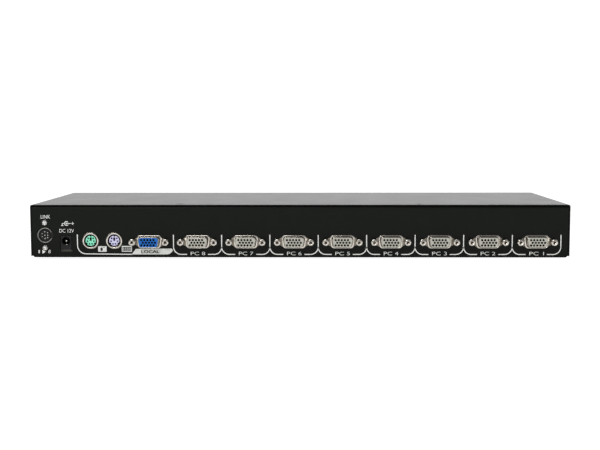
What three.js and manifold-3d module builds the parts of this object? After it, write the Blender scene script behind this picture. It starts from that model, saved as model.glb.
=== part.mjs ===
// An eight-port keyboard, video and mouse switch in a folded steel case of rack width.
// Millimetres. -Y points out of the rear panel with its sockets, +Y out of the front panel with
// its buttons, +X to the right as the rear panel is faced, +Z up. The origin is the middle of
// the footprint, on the surface that the rubber feet stand on.
import * as THREE from "three";
import { mergeVertices } from "three/addons/utils/BufferGeometryUtils.js";
import Module from "manifold-3d";

const wasm = await Module();
wasm.setup();

// ---- Driving dimensions ----
const CASE_WIDTH = 404.8;
const CASE_DEPTH = 136;
const CASE_HEIGHT = 39.7;
const SHEET = 1; // steel thickness
const GAP = 0.3; // between neighbouring sheets and pieces
const CLOSE_GAP = 0.1; // between a moulding and the shell that grips it
const FOOT_HEIGHT = 2;
const SOCKET_REACH = 5.8; // how far the sockets stand out of the rear panel
const BUTTON_REACH = 3; // how far the buttons stand out of the front panel
const BUTTON_TRAVEL = 1;
const PORTS = 8;
const PORT_PITCH = 36.3;
const PORT_ROW_LEFT = -94.6; // left end of the row of computer ports
const BUTTON_PITCH = 22;
const CASE_CLEARANCE = 0.4; // round the buttons and lamps in the front panel
const BUTTON = { width: 12, height: 7, rim: 1 };
const LAMP = { radius: 1.5 };
const DIGIT = { width: 12.6, height: 19 };
const VIDEO = {
  jackSpacing: 24.99,
  jackAcross: 4.75,
  jackReach: 5,
  studRadius: 1.5,
  flangeWidth: 30.8,
  flangeHeight: 12.5,
  flangeThickness: 0.8,
  bossWidth: 19.9,
  bossHeight: 9.8,
  bossCorner: 2.6,
  shellWidth: 16.3,
  shellHeight: 7.9,
  shellCorner: 2.1,
  wall: 0.4,
  pinPitch: 2.29,
  rowPitch: 1.98,
};
// The panel's hole widens between a video socket's boss and its jack screws.
const EAR = { root: 8.2, rootHalf: 3.9, tip: 11.2, tipHalf: 2.3 };
const ROUND_SOCKET = {
  outer: 6.1,
  bore: 4.55,
  reach: 1.2,
  canHalf: 7,
  canDepth: 12,
  faceRadius: 3.85,
  faceReach: 0.4,
};
const LINK_SOCKET = { ringOuter: 5.8, ringInner: 5, ringReach: 0.3, postRadius: 3.85, depth: 9 };
const HEAD = { radius: 2.9, depth: 1.4, shank: 1.5, length: 4.5, sunk: 0.1, bore: 2.1 };
const FOOT = { radius: 6, inset: 22, sideInset: 24 };

// ---- Places worked out from them ----
const REAR = -(CASE_DEPTH + BUTTON_REACH - SOCKET_REACH) / 2; // rear panel's outer face
const FRONT = REAR + CASE_DEPTH; // front panel's outer face
const FLOOR = FOOT_HEIGHT; // underside of the tray
const LID_TOP = FLOOR + CASE_HEIGHT;
const LID_UNDER = LID_TOP - SHEET;
const WALL_TOP = LID_UNDER - GAP; // top of the tray, where its end walls fold inwards under the lid
const WALL_FLANGE = 12; // depth of those folds
const TRAY_HALF = CASE_WIDTH / 2 - SHEET - GAP;
const TRAY_BEND = 2;
const LID_BEND = 1.4;
const LID_EDGE = 0.3; // rounding of the lid's rear and front edges
const FLANGE_BEND = 1.5;
const BOARD_THICKNESS = 1.6;
const BOARD_TOP = FLOOR + 5.45;
const BOARD_BOTTOM = BOARD_TOP - BOARD_THICKNESS;
const ON_BOARD = BOARD_TOP + GAP; // underside of what stands on the main board
const BEHIND_PANEL = SHEET + GAP; // first free depth behind a panel's outer face

// Rear panel sockets, as [x, z] of their axes.
const VIDEO_HEIGHT = FLOOR + 11.7;
const CONSOLE_VIDEO = [-112.8, VIDEO_HEIGHT];
const MOUSE = [-157, FLOOR + 12.6];
const KEYBOARD = [-139.2, FLOOR + 12.6];
const LINK = [-191.5, FLOOR + 16.7];
const LINK_SCREW_SPACING = 19.1;
const POWER = [-175.8, FLOOR + 12.3];
const portX = (port) => PORT_ROW_LEFT + PORT_PITCH * (PORTS - port + 0.5);

// Front panel.
const buttonX = (port) => BUTTON_PITCH * ((PORTS + 1) / 2 - port);
const BUTTON_Z = FLOOR + 13;
const LAMP_Z = FLOOR + 25;
const LAMP_OFFSET = 3.5; // each port has a lamp on either side of its button's middle
const DISPLAY = [122, FLOOR + 18];
const FRONT_BOARD_FACE = FRONT - 9; // side of the front board that carries the switches
const BUTTON_BACK = -BEHIND_PANEL - SHEET; // back of a button's retaining rim

const COVER_SCREW_X = 90;
const COVER_SCREW_INSET = 6; // from the top cover's rear edge
const SIDE_SCREWS = [[REAR + 18, FLOOR + 27], [FRONT - 64, FLOOR + 27]];
const EAR_HOLES = {
  y: FRONT - 32,
  z: FLOOR + CASE_HEIGHT / 2,
  spacingY: 30,
  spacingZ: 18,
  clearance: 2.2, // through the top cover
  tapped: 1.65, // in the tray's wall, for an M4 screw
};
const POWER_JACK = {
  width: 8.3,
  top: 3.8,
  bottom: ON_BOARD - POWER[1],
  slack: 1.3, // height of the panel's cutout below the jack
  depth: 14.2,
  bore: 3.05,
  pin: 0.9,
};
const RIBBON = { x: -100, width: 20, thickness: 0.9, header: 6, y: REAR + 88, z: FLOOR + 24, bend: 8 };
const LINK_LEAD = { width: 8, thickness: 2, bend: 4 };
const BEEPER = { x: 160, y: REAR + 60, radius: 6, height: 9 };
const OVERLAY_FACE = FRONT + CLOSE_GAP + 0.8;
const FRONT_BOARD_HALF = 197.4;
const FRONT_PEGS = [[-188, FLOOR + 7], [188, FLOOR + 7], [-188, FLOOR + 29], [188, FLOOR + 29]];
const BOARD_SCREWS = [[-120, REAR + 45], [120, REAR + 45], [-185, REAR + 88], [185, REAR + 88]];

// ---- Outlines ----
const X_AXIS = new THREE.Vector3(1, 0, 0);
const Y_AXIS = new THREE.Vector3(0, 1, 0);
const Z_AXIS = new THREE.Vector3(0, 0, 1);

function circle(x, y, radius, sides) {
  return Array.from({ length: sides }, (_, i) => {
    const turn = ((i + 0.5) * 2 * Math.PI) / sides;
    return new THREE.Vector2(x + radius * Math.cos(turn), y + radius * Math.sin(turn));
  });
}

function rectangle(x, y, width, height) {
  return [[-1, -1], [1, -1], [1, 1], [-1, 1]].map(
    ([sx, sy]) => new THREE.Vector2(x + (sx * width) / 2, y + (sy * height) / 2),
  );
}

// A closed outline from [x, y, radius] corners, each rounded with a few straight steps.
function rounded(corners, steps = 3) {
  const at = (i) => new THREE.Vector2(...corners[(i + corners.length) % corners.length]);
  return corners.flatMap(([, , radius = 0], i) => {
    const corner = at(i);
    if (!radius) return [corner];
    const back = at(i - 1).sub(corner).normalize();
    const on = at(i + 1).sub(corner).normalize();
    const half = Math.acos(back.dot(on)) / 2;
    const centre = back.clone().add(on).setLength(radius / Math.sin(half)).add(corner);
    const start = back.multiplyScalar(radius / Math.tan(half)).add(corner).sub(centre);
    const end = on.multiplyScalar(radius / Math.tan(half)).add(corner).sub(centre);
    const sweep = Math.atan2(start.cross(end), start.dot(end));
    return Array.from({ length: steps + 1 }, (_, k) =>
      start.clone().rotateAround(new THREE.Vector2(), (sweep * k) / steps).add(centre),
    );
  });
}

function roundedRectangle(x, y, width, height, radius, steps) {
  return rounded(rectangle(x, y, width, height).map((p) => [p.x, p.y, radius]), steps);
}

// The D of a video socket: its sides lean in by ten degrees towards the bottom.
function dOutline(x, z, width, height, radius) {
  const lean = height * Math.tan(THREE.MathUtils.degToRad(10));
  const top = width / 2;
  const bottom = top - lean;
  const half = height / 2;
  const corners = [[-bottom, -half], [bottom, -half], [top, half], [-top, half]];
  return rounded(corners.map(([cx, cz]) => [x + cx, z + cz, radius]));
}

// ---- Solids ----
function solid(geometry) {
  geometry.deleteAttribute("normal");
  geometry.deleteAttribute("uv");
  const merged = mergeVertices(geometry, 1e-4);
  const corners = merged.index.array;
  const kept = [];
  for (let i = 0; i < corners.length; i += 3) {
    const [a, b, c] = corners.slice(i, i + 3);
    if (a !== b && b !== c && c !== a) kept.push(a, b, c);
  }
  const vertProperties = merged.attributes.position.array;
  return new wasm.Manifold(new wasm.Mesh({ numProp: 3, vertProperties, triVerts: new Uint32Array(kept) }));
}

// For each extrusion axis: where the outline's two axes and the extrusion itself point.
const BASES = {
  x: new THREE.Matrix4().makeBasis(Y_AXIS, Z_AXIS, X_AXIS),
  y: new THREE.Matrix4().makeBasis(X_AXIS, Z_AXIS, Y_AXIS.clone().negate()),
  z: new THREE.Matrix4(),
};

function prism(outline, axis, from, to) {
  const shape = new THREE.Shape(outline);
  const geometry = new THREE.ExtrudeGeometry(shape, { depth: to - from, bevelEnabled: false });
  geometry.applyMatrix4(BASES[axis]);
  const start = new THREE.Vector3();
  start[axis] = axis === "y" ? to : from;
  return solid(geometry.translate(start.x, start.y, start.z));
}

function block(x0, x1, y0, y1, z0, z1) {
  return prism(rectangle((x0 + x1) / 2, (y0 + y1) / 2, x1 - x0, y1 - y0), "z", z0, z1);
}

// A turned piece: [radius, height] points from one end of the axis to the other.
function turned(profile, sides = 12) {
  return new THREE.LatheGeometry(profile.map(([r, h]) => new THREE.Vector2(r, h)), sides);
}

const join = (...solids) => solids.reduce((all, next) => all.add(next));
const cut = (body, ...tools) => body.subtract(join(...tools));

// ---- Materials ----
const finish = (color, roughness, metalness = 0) =>
  new THREE.MeshStandardMaterial({ color, roughness, metalness });
const POWDER_COAT = finish(0x1c1e1c, 0.5);
const NICKEL = finish(0xc9c4ba, 0.3, 1);
const BRIGHT_SCREW = finish(0xd2d0cb, 0.25, 1);
const BLACK_SCREW = finish(0x151515, 0.4, 1);
const GREY_INSERT = finish(0xb9b8ac, 0.55);
const BLUE_INSERT = finish(0x1d55c0, 0.45);
const GREEN_INSERT = finish(0x6fe0b4, 0.45);
const PURPLE_INSERT = finish(0xb9aef0, 0.45);
const BLACK_PLASTIC = finish(0x121312, 0.45);
const OVERLAY = finish(0x0e0f10, 0.2);
const BUTTON_GREY = finish(0x8b8e90, 0.5);
const CLEAR = finish(0xdde6e2, 0.1);
const BOARD_GREEN = finish(0x12522c, 0.4);
const LEAD_GREY = finish(0x8f8f8c, 0.6);
const RUBBER = finish(0x101010, 0.9);

// ---- The assembly ----
const device = new THREE.Group();
device.name = "kvm_switch";

function shapeOf(body) {
  const { vertProperties, triVerts } = body.getMesh();
  const geometry = new THREE.BufferGeometry();
  geometry.setAttribute("position", new THREE.BufferAttribute(vertProperties, 3));
  geometry.setIndex(new THREE.BufferAttribute(triVerts, 1));
  geometry.computeVertexNormals();
  return geometry;
}

function place(name, geometry, material, x = 0, y = 0, z = 0) {
  const mesh = new THREE.Mesh(geometry, material);
  mesh.name = name;
  mesh.position.set(x, y, z);
  device.add(mesh);
  return mesh;
}

// ---- Case ----
const earHoles = [-1, 1].flatMap((sy) =>
  [-1, 1].map((sz) => [
    EAR_HOLES.y + (sy * EAR_HOLES.spacingY) / 2,
    EAR_HOLES.z + (sz * EAR_HOLES.spacingZ) / 2,
  ]),
);
const videoSockets = [
  ["console_video", ...CONSOLE_VIDEO],
  ...Array.from({ length: PORTS }, (_, i) => [`pc_port_${i + 1}`, portX(i + 1), VIDEO_HEIGHT]),
];

function earOutline(x, z) {
  const { root, rootHalf, tip, tipHalf } = EAR;
  return rounded([
    [x - tip, z - tipHalf], [x - root, z - rootHalf],
    [x + root, z - rootHalf], [x + tip, z - tipHalf],
    [x + tip, z + tipHalf], [x + root, z + rootHalf],
    [x - root, z + rootHalf], [x - tip, z + tipHalf],
  ]);
}

function rearOutlines() {
  const video = videoSockets.flatMap(([, x, z]) => [
    earOutline(x, z),
    dOutline(x, z, VIDEO.bossWidth + 2 * GAP, VIDEO.bossHeight + 2 * GAP, VIDEO.bossCorner + GAP),
    circle(x - VIDEO.jackSpacing / 2, z, VIDEO.studRadius + GAP, 8),
    circle(x + VIDEO.jackSpacing / 2, z, VIDEO.studRadius + GAP, 8),
  ]);
  const round = [MOUSE, KEYBOARD].map(([x, z]) => circle(x, z, ROUND_SOCKET.outer + GAP, 20));
  const link = [
    circle(...LINK, LINK_SOCKET.ringOuter + GAP, 20),
    ...[-1, 1].map((side) => circle(LINK[0], LINK[1] + (side * LINK_SCREW_SPACING) / 2, 1.6, 8)),
  ];
  const power = roundedRectangle(
    POWER[0],
    POWER[1] + (POWER_JACK.top + POWER_JACK.bottom - POWER_JACK.slack) / 2,
    POWER_JACK.width + 2 * GAP,
    POWER_JACK.top - POWER_JACK.bottom + POWER_JACK.slack + 2 * GAP,
    0.4,
    1,
  );
  return [...video, ...round, ...link, power];
}

function frontOutlines(clearance) {
  const ports = Array.from({ length: PORTS }, (_, i) => i + 1);
  const buttons = ports.map((port) =>
    roundedRectangle(
      buttonX(port), BUTTON_Z,
      BUTTON.width + 2 * clearance, BUTTON.height + 2 * clearance,
      1, 2,
    ),
  );
  const lamps = ports.flatMap((port) =>
    [-1, 1].map((side) => circle(buttonX(port) + side * LAMP_OFFSET, LAMP_Z, LAMP.radius + GAP, 8)),
  );
  return [...buttons, ...lamps, rectangle(...DISPLAY, DIGIT.width + 2 * GAP, DIGIT.height + 2 * GAP)];
}

// Cuts the square edge off a fold that runs along X, leaving a quarter round. The fold's upright
// face is at y = edge, and inwards is the sign of the way into the case.
function foldTrimmer(edge, inwards, top, radius) {
  const arc = Array.from({ length: 5 }, (_, k) => {
    const turn = (k * Math.PI) / 8;
    const y = edge + inwards * radius * (1 - Math.cos(turn));
    return new THREE.Vector2(y, top - radius * (1 - Math.sin(turn)));
  });
  const corner = [[arc.at(-1).x, top + 1], [edge - inwards, top + 1], [edge - inwards, arc[0].y]];
  const outline = [...arc, ...corner.map((point) => new THREE.Vector2(...point))];
  return prism(outline, "x", -CASE_WIDTH, CASE_WIDTH);
}

// Drills for a hole at the same place in both side walls.
function throughSides(y, z, radius) {
  return [-1, 1].map((side) => {
    const face = (side * CASE_WIDTH) / 2;
    return prism(circle(y, z, radius, 10), "x", face - 4, face + 4);
  });
}

function baseTray() {
  const wall = (inset, top) =>
    rounded([
      [-TRAY_HALF + inset, FLOOR + inset, TRAY_BEND - inset],
      [TRAY_HALF - inset, FLOOR + inset, TRAY_BEND - inset],
      [TRAY_HALF - inset, top],
      [-TRAY_HALF + inset, top],
    ]);
  const inner = TRAY_HALF - SHEET;
  const hollow = [
    prism(wall(SHEET, WALL_TOP - SHEET), "y", REAR + SHEET, FRONT - SHEET),
    block(-inner, inner, REAR + WALL_FLANGE, FRONT - WALL_FLANGE, WALL_TOP - 5, WALL_TOP + 1),
    foldTrimmer(REAR, 1, WALL_TOP, FLANGE_BEND),
    foldTrimmer(FRONT, -1, WALL_TOP, FLANGE_BEND),
  ];
  const holes = [
    ...rearOutlines().map((hole) => prism(hole, "y", REAR - 1, REAR + SHEET + 1)),
    ...frontOutlines(CASE_CLEARANCE).map((hole) => prism(hole, "y", FRONT - SHEET - 1, FRONT + 1)),
    ...SIDE_SCREWS.flatMap(([y, z]) => throughSides(y, z, HEAD.bore)),
    ...earHoles.flatMap(([y, z]) => throughSides(y, z, EAR_HOLES.tapped)),
    ...BOARD_SCREWS.map(([x, y]) => prism(circle(x, y, 1.8, 8), "z", FLOOR - 1, BOARD_TOP)),
    ...coverScrewSeats().rear.map(({ at }) =>
      prism(circle(at.x, at.y, HEAD.bore, 10), "z", WALL_TOP - 2, LID_TOP),
    ),
  ];
  const supports = [
    ...BOARD_SCREWS.map(([x, y]) => prism(circle(x, y, 3, 10), "z", FLOOR + SHEET / 2, BOARD_BOTTOM - GAP)),
    ...FRONT_PEGS.map(([x, z]) =>
      prism(circle(x, z, 1.5, 8), "y", FRONT_BOARD_FACE - BOARD_THICKNESS - 1.2, FRONT - SHEET / 2),
    ),
  ];
  return cut(join(cut(prism(wall(0, WALL_TOP), "y", REAR, FRONT), ...hollow), ...supports), ...holes);
}

function topCover() {
  const half = CASE_WIDTH / 2;
  const inner = half - SHEET;
  const sideBottom = FLOOR + SHEET;
  const outline = rounded([
    [-half, sideBottom],
    [half, sideBottom],
    [half, LID_TOP, LID_BEND],
    [-half, LID_TOP, LID_BEND],
  ]);
  const { rear, sides } = coverScrewSeats();
  return cut(
    prism(outline, "y", REAR, FRONT),
    block(-inner, inner, REAR - 1, FRONT + 1, sideBottom - 1, LID_UNDER),
    foldTrimmer(REAR, 1, LID_TOP, LID_EDGE),
    foldTrimmer(FRONT, -1, LID_TOP, LID_EDGE),
    ...[...rear, ...sides].map(({ at, out }) => solid(facing(turned(SINK_PROFILE), out, at))),
    ...earHoles.flatMap(([y, z]) => throughSides(y, z, EAR_HOLES.clearance)),
  );
}

// ---- Cover screws: countersunk, their heads a hair under the paint ----
const SINK_PROFILE = [
  [0, -3],
  [HEAD.shank + GAP, -3],
  [HEAD.shank + GAP, -HEAD.depth - HEAD.sunk],
  [HEAD.radius + GAP + 1, 1 - HEAD.sunk],
  [0, 1 - HEAD.sunk],
];

function facing(geometry, out, at) {
  const turn = new THREE.Matrix4().makeRotationFromQuaternion(
    new THREE.Quaternion().setFromUnitVectors(Y_AXIS, out),
  );
  return geometry.applyMatrix4(turn).translate(at.x, at.y, at.z);
}

// Where the cover screws' heads lie, and which way they face.
function coverScrewSeats() {
  const sideName = (side) => (side < 0 ? "left" : "right");
  const rear = [-1, 1].map((side) => ({
    name: `cover_screw_rear_${sideName(side)}`,
    at: new THREE.Vector3(side * COVER_SCREW_X, REAR + COVER_SCREW_INSET, LID_TOP),
    out: Z_AXIS,
  }));
  const sides = [-1, 1].flatMap((side) =>
    SIDE_SCREWS.map(([y, z], i) => ({
      name: `cover_screw_${sideName(side)}_${i + 1}`,
      at: new THREE.Vector3((side * CASE_WIDTH) / 2, y, z),
      out: X_AXIS.clone().multiplyScalar(side),
    })),
  );
  return { rear, sides };
}

function coverScrew() {
  const { radius, depth, shank, length, sunk } = HEAD;
  const blank = turned([[0, -length], [shank, -length], [shank, -depth - sunk], [radius, -sunk], [0, -sunk]]);
  const slots = [block(-1.6, 1.6, -0.8, 1, -0.35, 0.35), block(-0.35, 0.35, -0.8, 1, -1.6, 1.6)];
  return cut(solid(blank), ...slots);
}

// ---- Video sockets: a nickelled shell with its two jack screws, and the moulding in it ----

function videoShell() {
  const back = BEHIND_PANEL + VIDEO.flangeThickness;
  const outer = dOutline(0, 0, VIDEO.shellWidth, VIDEO.shellHeight, VIDEO.shellCorner);
  const bore = dOutline(
    0, 0,
    VIDEO.shellWidth - 2 * VIDEO.wall,
    VIDEO.shellHeight - 2 * VIDEO.wall,
    VIDEO.shellCorner - VIDEO.wall,
  );
  const hexRadius = VIDEO.jackAcross / Math.sqrt(3);
  const jacks = [-1, 1].flatMap((side) => {
    const x = (side * VIDEO.jackSpacing) / 2;
    return [
      prism(circle(x, 0, hexRadius, 6), "y", -VIDEO.jackReach, -CLOSE_GAP),
      prism(circle(x, 0, VIDEO.studRadius, 8), "y", -1, back),
    ];
  });
  const threads = [-1, 1].map((side) =>
    prism(circle((side * VIDEO.jackSpacing) / 2, 0, 1.3, 8), "y", -VIDEO.jackReach - 1, -0.5),
  );
  return cut(
    join(
      prism(roundedRectangle(0, 0, VIDEO.flangeWidth, VIDEO.flangeHeight, 2, 2), "y", BEHIND_PANEL, back),
      prism(dOutline(0, 0, VIDEO.bossWidth, VIDEO.bossHeight, VIDEO.bossCorner), "y", -GAP, back),
      prism(outer, "y", -SOCKET_REACH, back),
      ...jacks,
    ),
    prism(bore, "y", -SOCKET_REACH - 1, back + 1),
    ...threads,
  );
}

// The fifteen contacts: three rows of five, the middle row half a pitch to the right.
function videoContacts() {
  return [-1, 0, 1].flatMap((row) =>
    [-2, -1, 0, 1, 2].map((column) => {
      const shift = (row === 0 ? 1 : -1) * (VIDEO.pinPitch / 4);
      return [column * VIDEO.pinPitch + shift, row * VIDEO.rowPitch];
    }),
  );
}

function videoInsert() {
  const margin = 2 * (VIDEO.wall + CLOSE_GAP);
  const face = dOutline(
    0, 0,
    VIDEO.shellWidth - margin,
    VIDEO.shellHeight - margin,
    VIDEO.shellCorner - margin / 2,
  );
  const back = BEHIND_PANEL + VIDEO.flangeThickness + CLOSE_GAP;
  const holes = videoContacts().map(([x, z]) => prism(circle(x, z, 0.55, 6), "y", -SOCKET_REACH - 1, -1));
  return cut(
    join(
      prism(face, "y", 0.2 - SOCKET_REACH, back + 1),
      block(-8.5, 8.5, back, back + 9, ON_BOARD - VIDEO_HEIGHT, 5.5),
    ),
    ...holes,
  );
}

// ---- Round sockets for the mouse and the keyboard ----
const ROUND_CONTACTS = [[-1.9, 1.8], [1.9, 1.8], [-2.45, -0.35], [2.45, -0.35], [-1, -2.4], [1, -2.4]];

function roundShield() {
  const canBottom = ON_BOARD - MOUSE[1];
  return cut(
    join(
      prism(circle(0, 0, ROUND_SOCKET.outer, 20), "y", -ROUND_SOCKET.reach, BEHIND_PANEL + 1),
      block(-ROUND_SOCKET.canHalf, ROUND_SOCKET.canHalf, BEHIND_PANEL, ROUND_SOCKET.canDepth, canBottom, 6.5),
    ),
    prism(circle(0, 0, ROUND_SOCKET.bore, 20), "y", -ROUND_SOCKET.reach - 1, ROUND_SOCKET.canDepth - 1),
  );
}

function roundInsulator() {
  const foot = ROUND_SOCKET.canDepth - 1 - CLOSE_GAP;
  const keyways = [90, 215, 325].map((degrees) => {
    const turn = THREE.MathUtils.degToRad(degrees);
    const x = ROUND_SOCKET.faceRadius * Math.cos(turn);
    const z = ROUND_SOCKET.faceRadius * Math.sin(turn);
    return prism(circle(x, z, 0.75, 6), "y", -2, foot - 3);
  });
  return cut(
    join(
      prism(circle(0, 0, ROUND_SOCKET.faceRadius, 16), "y", -ROUND_SOCKET.faceReach, foot),
      prism(circle(0, 0, ROUND_SOCKET.bore - CLOSE_GAP - 0.05, 16), "y", foot - 2, foot),
    ),
    prism(rectangle(0, 1.1, 1, 2.1), "y", -2, 5),
    ...ROUND_CONTACTS.map(([x, z]) => prism(circle(x, z, 0.45, 6), "y", -2, 5)),
    ...keyways,
  );
}

// ---- Link socket: eight contacts in a moulding screwed to the panel, with an open ring ----
const LINK_CONTACTS = [
  [-2.3, 1.2], [-2.3, -1.2],
  [-0.2, 2.6], [-0.2, 0], [-0.2, -2.6],
  [1.9, 1.9], [1.9, 0], [1.9, -1.9],
];

function linkShield() {
  const { ringOuter, ringInner, ringReach, depth } = LINK_SOCKET;
  return cut(
    prism(circle(0, 0, ringOuter, 24), "y", -ringReach, depth),
    prism(circle(0, 0, ringInner, 24), "y", -ringReach - 1, depth + 1),
    block(0, ringOuter + 1, -ringReach - 1, depth + 1, -2.6, 2.6),
  );
}

function linkBody() {
  const { ringOuter, postRadius, depth } = LINK_SOCKET;
  const mould = cut(
    join(
      prism(roundedRectangle(0, 0, 12.4, LINK_SCREW_SPACING + 5, 2, 2), "y", BEHIND_PANEL, BEHIND_PANEL + 2),
      block(-7, 7, BEHIND_PANEL, depth + 4, -7, 7),
    ),
    prism(circle(0, 0, ringOuter + CLOSE_GAP, 24), "y", 0, depth + GAP),
    ...[-1, 1].map((side) =>
      prism(circle(0, (side * LINK_SCREW_SPACING) / 2, 1.6, 8), "y", 0, BEHIND_PANEL + 3),
    ),
  );
  const holes = LINK_CONTACTS.map(([x, z]) => prism(circle(x, z, 0.45, 6), "y", -1, 5));
  return cut(join(mould, prism(circle(0, 0, postRadius, 16), "y", 0.2, depth + 1)), ...holes);
}

function linkScrew() {
  const blank = turned([
    [0, -5], [1.3, -5], [1.3, CLOSE_GAP],
    [2.1, CLOSE_GAP], [2, 0.9], [1.2, 1.4], [0, 1.5],
  ]);
  return cut(solid(blank.rotateX(Math.PI)), block(-2.2, 2.2, -2, -0.8, -0.3, 0.3));
}

// ---- Power jack ----

function powerJackBody() {
  const { width, top, bottom, depth, bore, pin } = POWER_JACK;
  return cut(
    block(-width / 2, width / 2, 0.2, depth, bottom, top),
    prism(circle(0, 0, bore, 16), "y", -1, 10),
    prism(circle(0, 0, pin + CLOSE_GAP, 10), "y", 9, depth + 1),
  );
}

function powerJackPin() {
  const { pin, depth } = POWER_JACK;
  const profile = [[0, -depth - 0.5], [pin, -depth - 0.5], [pin, -1.6], [0.5, -1], [0, -1]];
  return solid(turned(profile, 10).rotateX(Math.PI));
}

// ---- Front panel pieces ----

function frontOverlay() {
  const sheet = roundedRectangle(0, FLOOR + 18.2, 2 * TRAY_HALF - 6, 32, 1.5, 2);
  return cut(
    prism(sheet, "y", FRONT + CLOSE_GAP, OVERLAY_FACE),
    ...frontOutlines(CASE_CLEARANCE).map((hole) => prism(hole, "y", FRONT - 1, OVERLAY_FACE + 1)),
  );
}

function portButton() {
  const { width, height, rim } = BUTTON;
  return join(
    prism(roundedRectangle(0, 0, width, height, 1, 2), "y", BUTTON_BACK, BUTTON_REACH),
    prism(rectangle(0, 0, width + 2 * rim, height + 2 * rim), "y", BUTTON_BACK, -BEHIND_PANEL),
  );
}

function lightPipe() {
  const span = BUTTON_PITCH * (PORTS - 1) + 2 * LAMP_OFFSET + 6;
  const pegs = Array.from({ length: PORTS }, (_, i) => buttonX(i + 1)).flatMap((x) =>
    [-1, 1].map((side) =>
      prism(circle(x + side * LAMP_OFFSET, LAMP_Z, LAMP.radius, 8), "y", FRONT - 2, OVERLAY_FACE),
    ),
  );
  return join(
    block(-span / 2, span / 2, FRONT - BEHIND_PANEL - 2, FRONT - BEHIND_PANEL, LAMP_Z - 2.5, LAMP_Z + 2.5),
    ...pegs,
  );
}

function bankDisplay() {
  const [x, z] = DISPLAY;
  return prism(rectangle(x, z, DIGIT.width, DIGIT.height), "y", FRONT_BOARD_FACE + GAP, FRONT + 0.5);
}

// ---- Boards, with what is soldered to them, and the leads between them ----

// A part standing on the main board, its foot a little way into the board so that they join.
function soldered(x, y, width, depth, height) {
  return block(
    x - width / 2, x + width / 2,
    y - depth / 2, y + depth / 2,
    BOARD_TOP - 0.5, BOARD_TOP + height,
  );
}

function mainBoard() {
  const depth = 95;
  const rearEdge = REAR + BEHIND_PANEL + VIDEO.flangeThickness + GAP;
  const plate = block(-196, 196, rearEdge, rearEdge + depth, BOARD_BOTTOM, BOARD_TOP);
  const switchChips = videoSockets.map(([, x]) => soldered(x, REAR + 26, 14, 9, 2));
  const bufferChips = videoSockets.map(([, x]) => soldered(x, REAR + 62, 8, 6, 1.6));
  const capacitors = [-181, -168].map((x) =>
    prism(circle(x, REAR + 34, 4.5, 10), "z", BOARD_TOP - 0.5, BOARD_TOP + 12),
  );
  const others = [
    soldered(0, REAR + 44, 17, 17, 2), // controller
    soldered(-30, REAR + 44, 11, 5, 3.5), // clock crystal
    soldered(-170, REAR + 52, 16, 8, 11), // voltage regulator on its heat sink
    soldered(RIBBON.x, RIBBON.y, RIBBON.width + 2, RIBBON.header, 7),
    soldered(LINK[0], linkLeadEnd(), LINK_LEAD.width + 1, 5, 4),
  ];
  const holes = BOARD_SCREWS.map(([x, y]) =>
    prism(circle(x, y, 1.8, 8), "z", BOARD_BOTTOM - 1, BOARD_TOP + 1),
  );
  const linkNotch = block(
    -200, LINK[0] + 7.5,
    REAR, REAR + BEHIND_PANEL + 2 + GAP,
    BOARD_BOTTOM - 1, BOARD_TOP + 1,
  );
  return cut(join(plate, ...switchChips, ...bufferChips, ...capacitors, ...others), ...holes, linkNotch);
}

function boardScrew() {
  const profile = [
    [0, -4.7], [1.4, -4.7], [1.4, CLOSE_GAP],
    [2.75, CLOSE_GAP], [2.6, 1.4], [1.6, 2], [0, 2],
  ];
  const blank = turned(profile, 10);
  return cut(solid(blank), block(-1.4, 1.4, 1.2, 3, -0.35, 0.35), block(-0.35, 0.35, 1.2, 3, -1.4, 1.4));
}

function frontBoard() {
  const back = FRONT_BOARD_FACE - BOARD_THICKNESS;
  const face = FRONT_BOARD_FACE - 0.5;
  const [, pegLow] = FRONT_PEGS[0];
  const [, pegHigh] = FRONT_PEGS[2];
  const plate = block(-FRONT_BOARD_HALF, FRONT_BOARD_HALF, back, FRONT_BOARD_FACE, pegLow - 4, pegHigh + 5.5);
  const parts = Array.from({ length: PORTS }, (_, i) => buttonX(i + 1)).flatMap((x) => [
    block(x - 3, x + 3, face, FRONT_BOARD_FACE + 4.3, BUTTON_Z - 3, BUTTON_Z + 3),
    prism(circle(x, BUTTON_Z, 1.7, 8), "y", face, FRONT + BUTTON_BACK - BUTTON_TRAVEL - GAP),
    block(x - LAMP_OFFSET - 1.5, x - LAMP_OFFSET + 1.5, face, FRONT_BOARD_FACE + 2, LAMP_Z - 1, LAMP_Z + 1),
    block(x + LAMP_OFFSET - 1.5, x + LAMP_OFFSET + 1.5, face, FRONT_BOARD_FACE + 2, LAMP_Z - 1, LAMP_Z + 1),
  ]);
  const half = RIBBON.width / 2 + 1;
  const header = block(RIBBON.x - half, RIBBON.x + half, back - 6, back + 0.5, RIBBON.z - 3, RIBBON.z + 3);
  const holes = FRONT_PEGS.map(([x, z]) => prism(circle(x, z, 1.8, 8), "y", back - 1, FRONT_BOARD_FACE + 1));
  return cut(join(plate, ...parts, header), ...holes);
}

// The outline of a flat lead in the YZ plane: straight, round one bend, and straight again.
function bentLead(start, corner, end, bend, thickness) {
  const along = corner.clone().sub(start).normalize();
  const onward = end.clone().sub(corner).normalize();
  const bendsLeft = Math.sign(along.cross(onward));
  const edge = (offset) => {
    const first = new THREE.Vector2(-along.y, along.x).multiplyScalar(offset);
    const second = new THREE.Vector2(-onward.y, onward.x).multiplyScalar(offset);
    const points = [start.clone().add(first), corner.clone().add(first).add(second), end.clone().add(second)];
    return rounded(points.map((p, i) => [p.x, p.y, i === 1 ? bend - bendsLeft * offset : 0]), 6);
  };
  return [...edge(-thickness / 2), ...edge(thickness / 2).reverse()];
}

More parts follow.
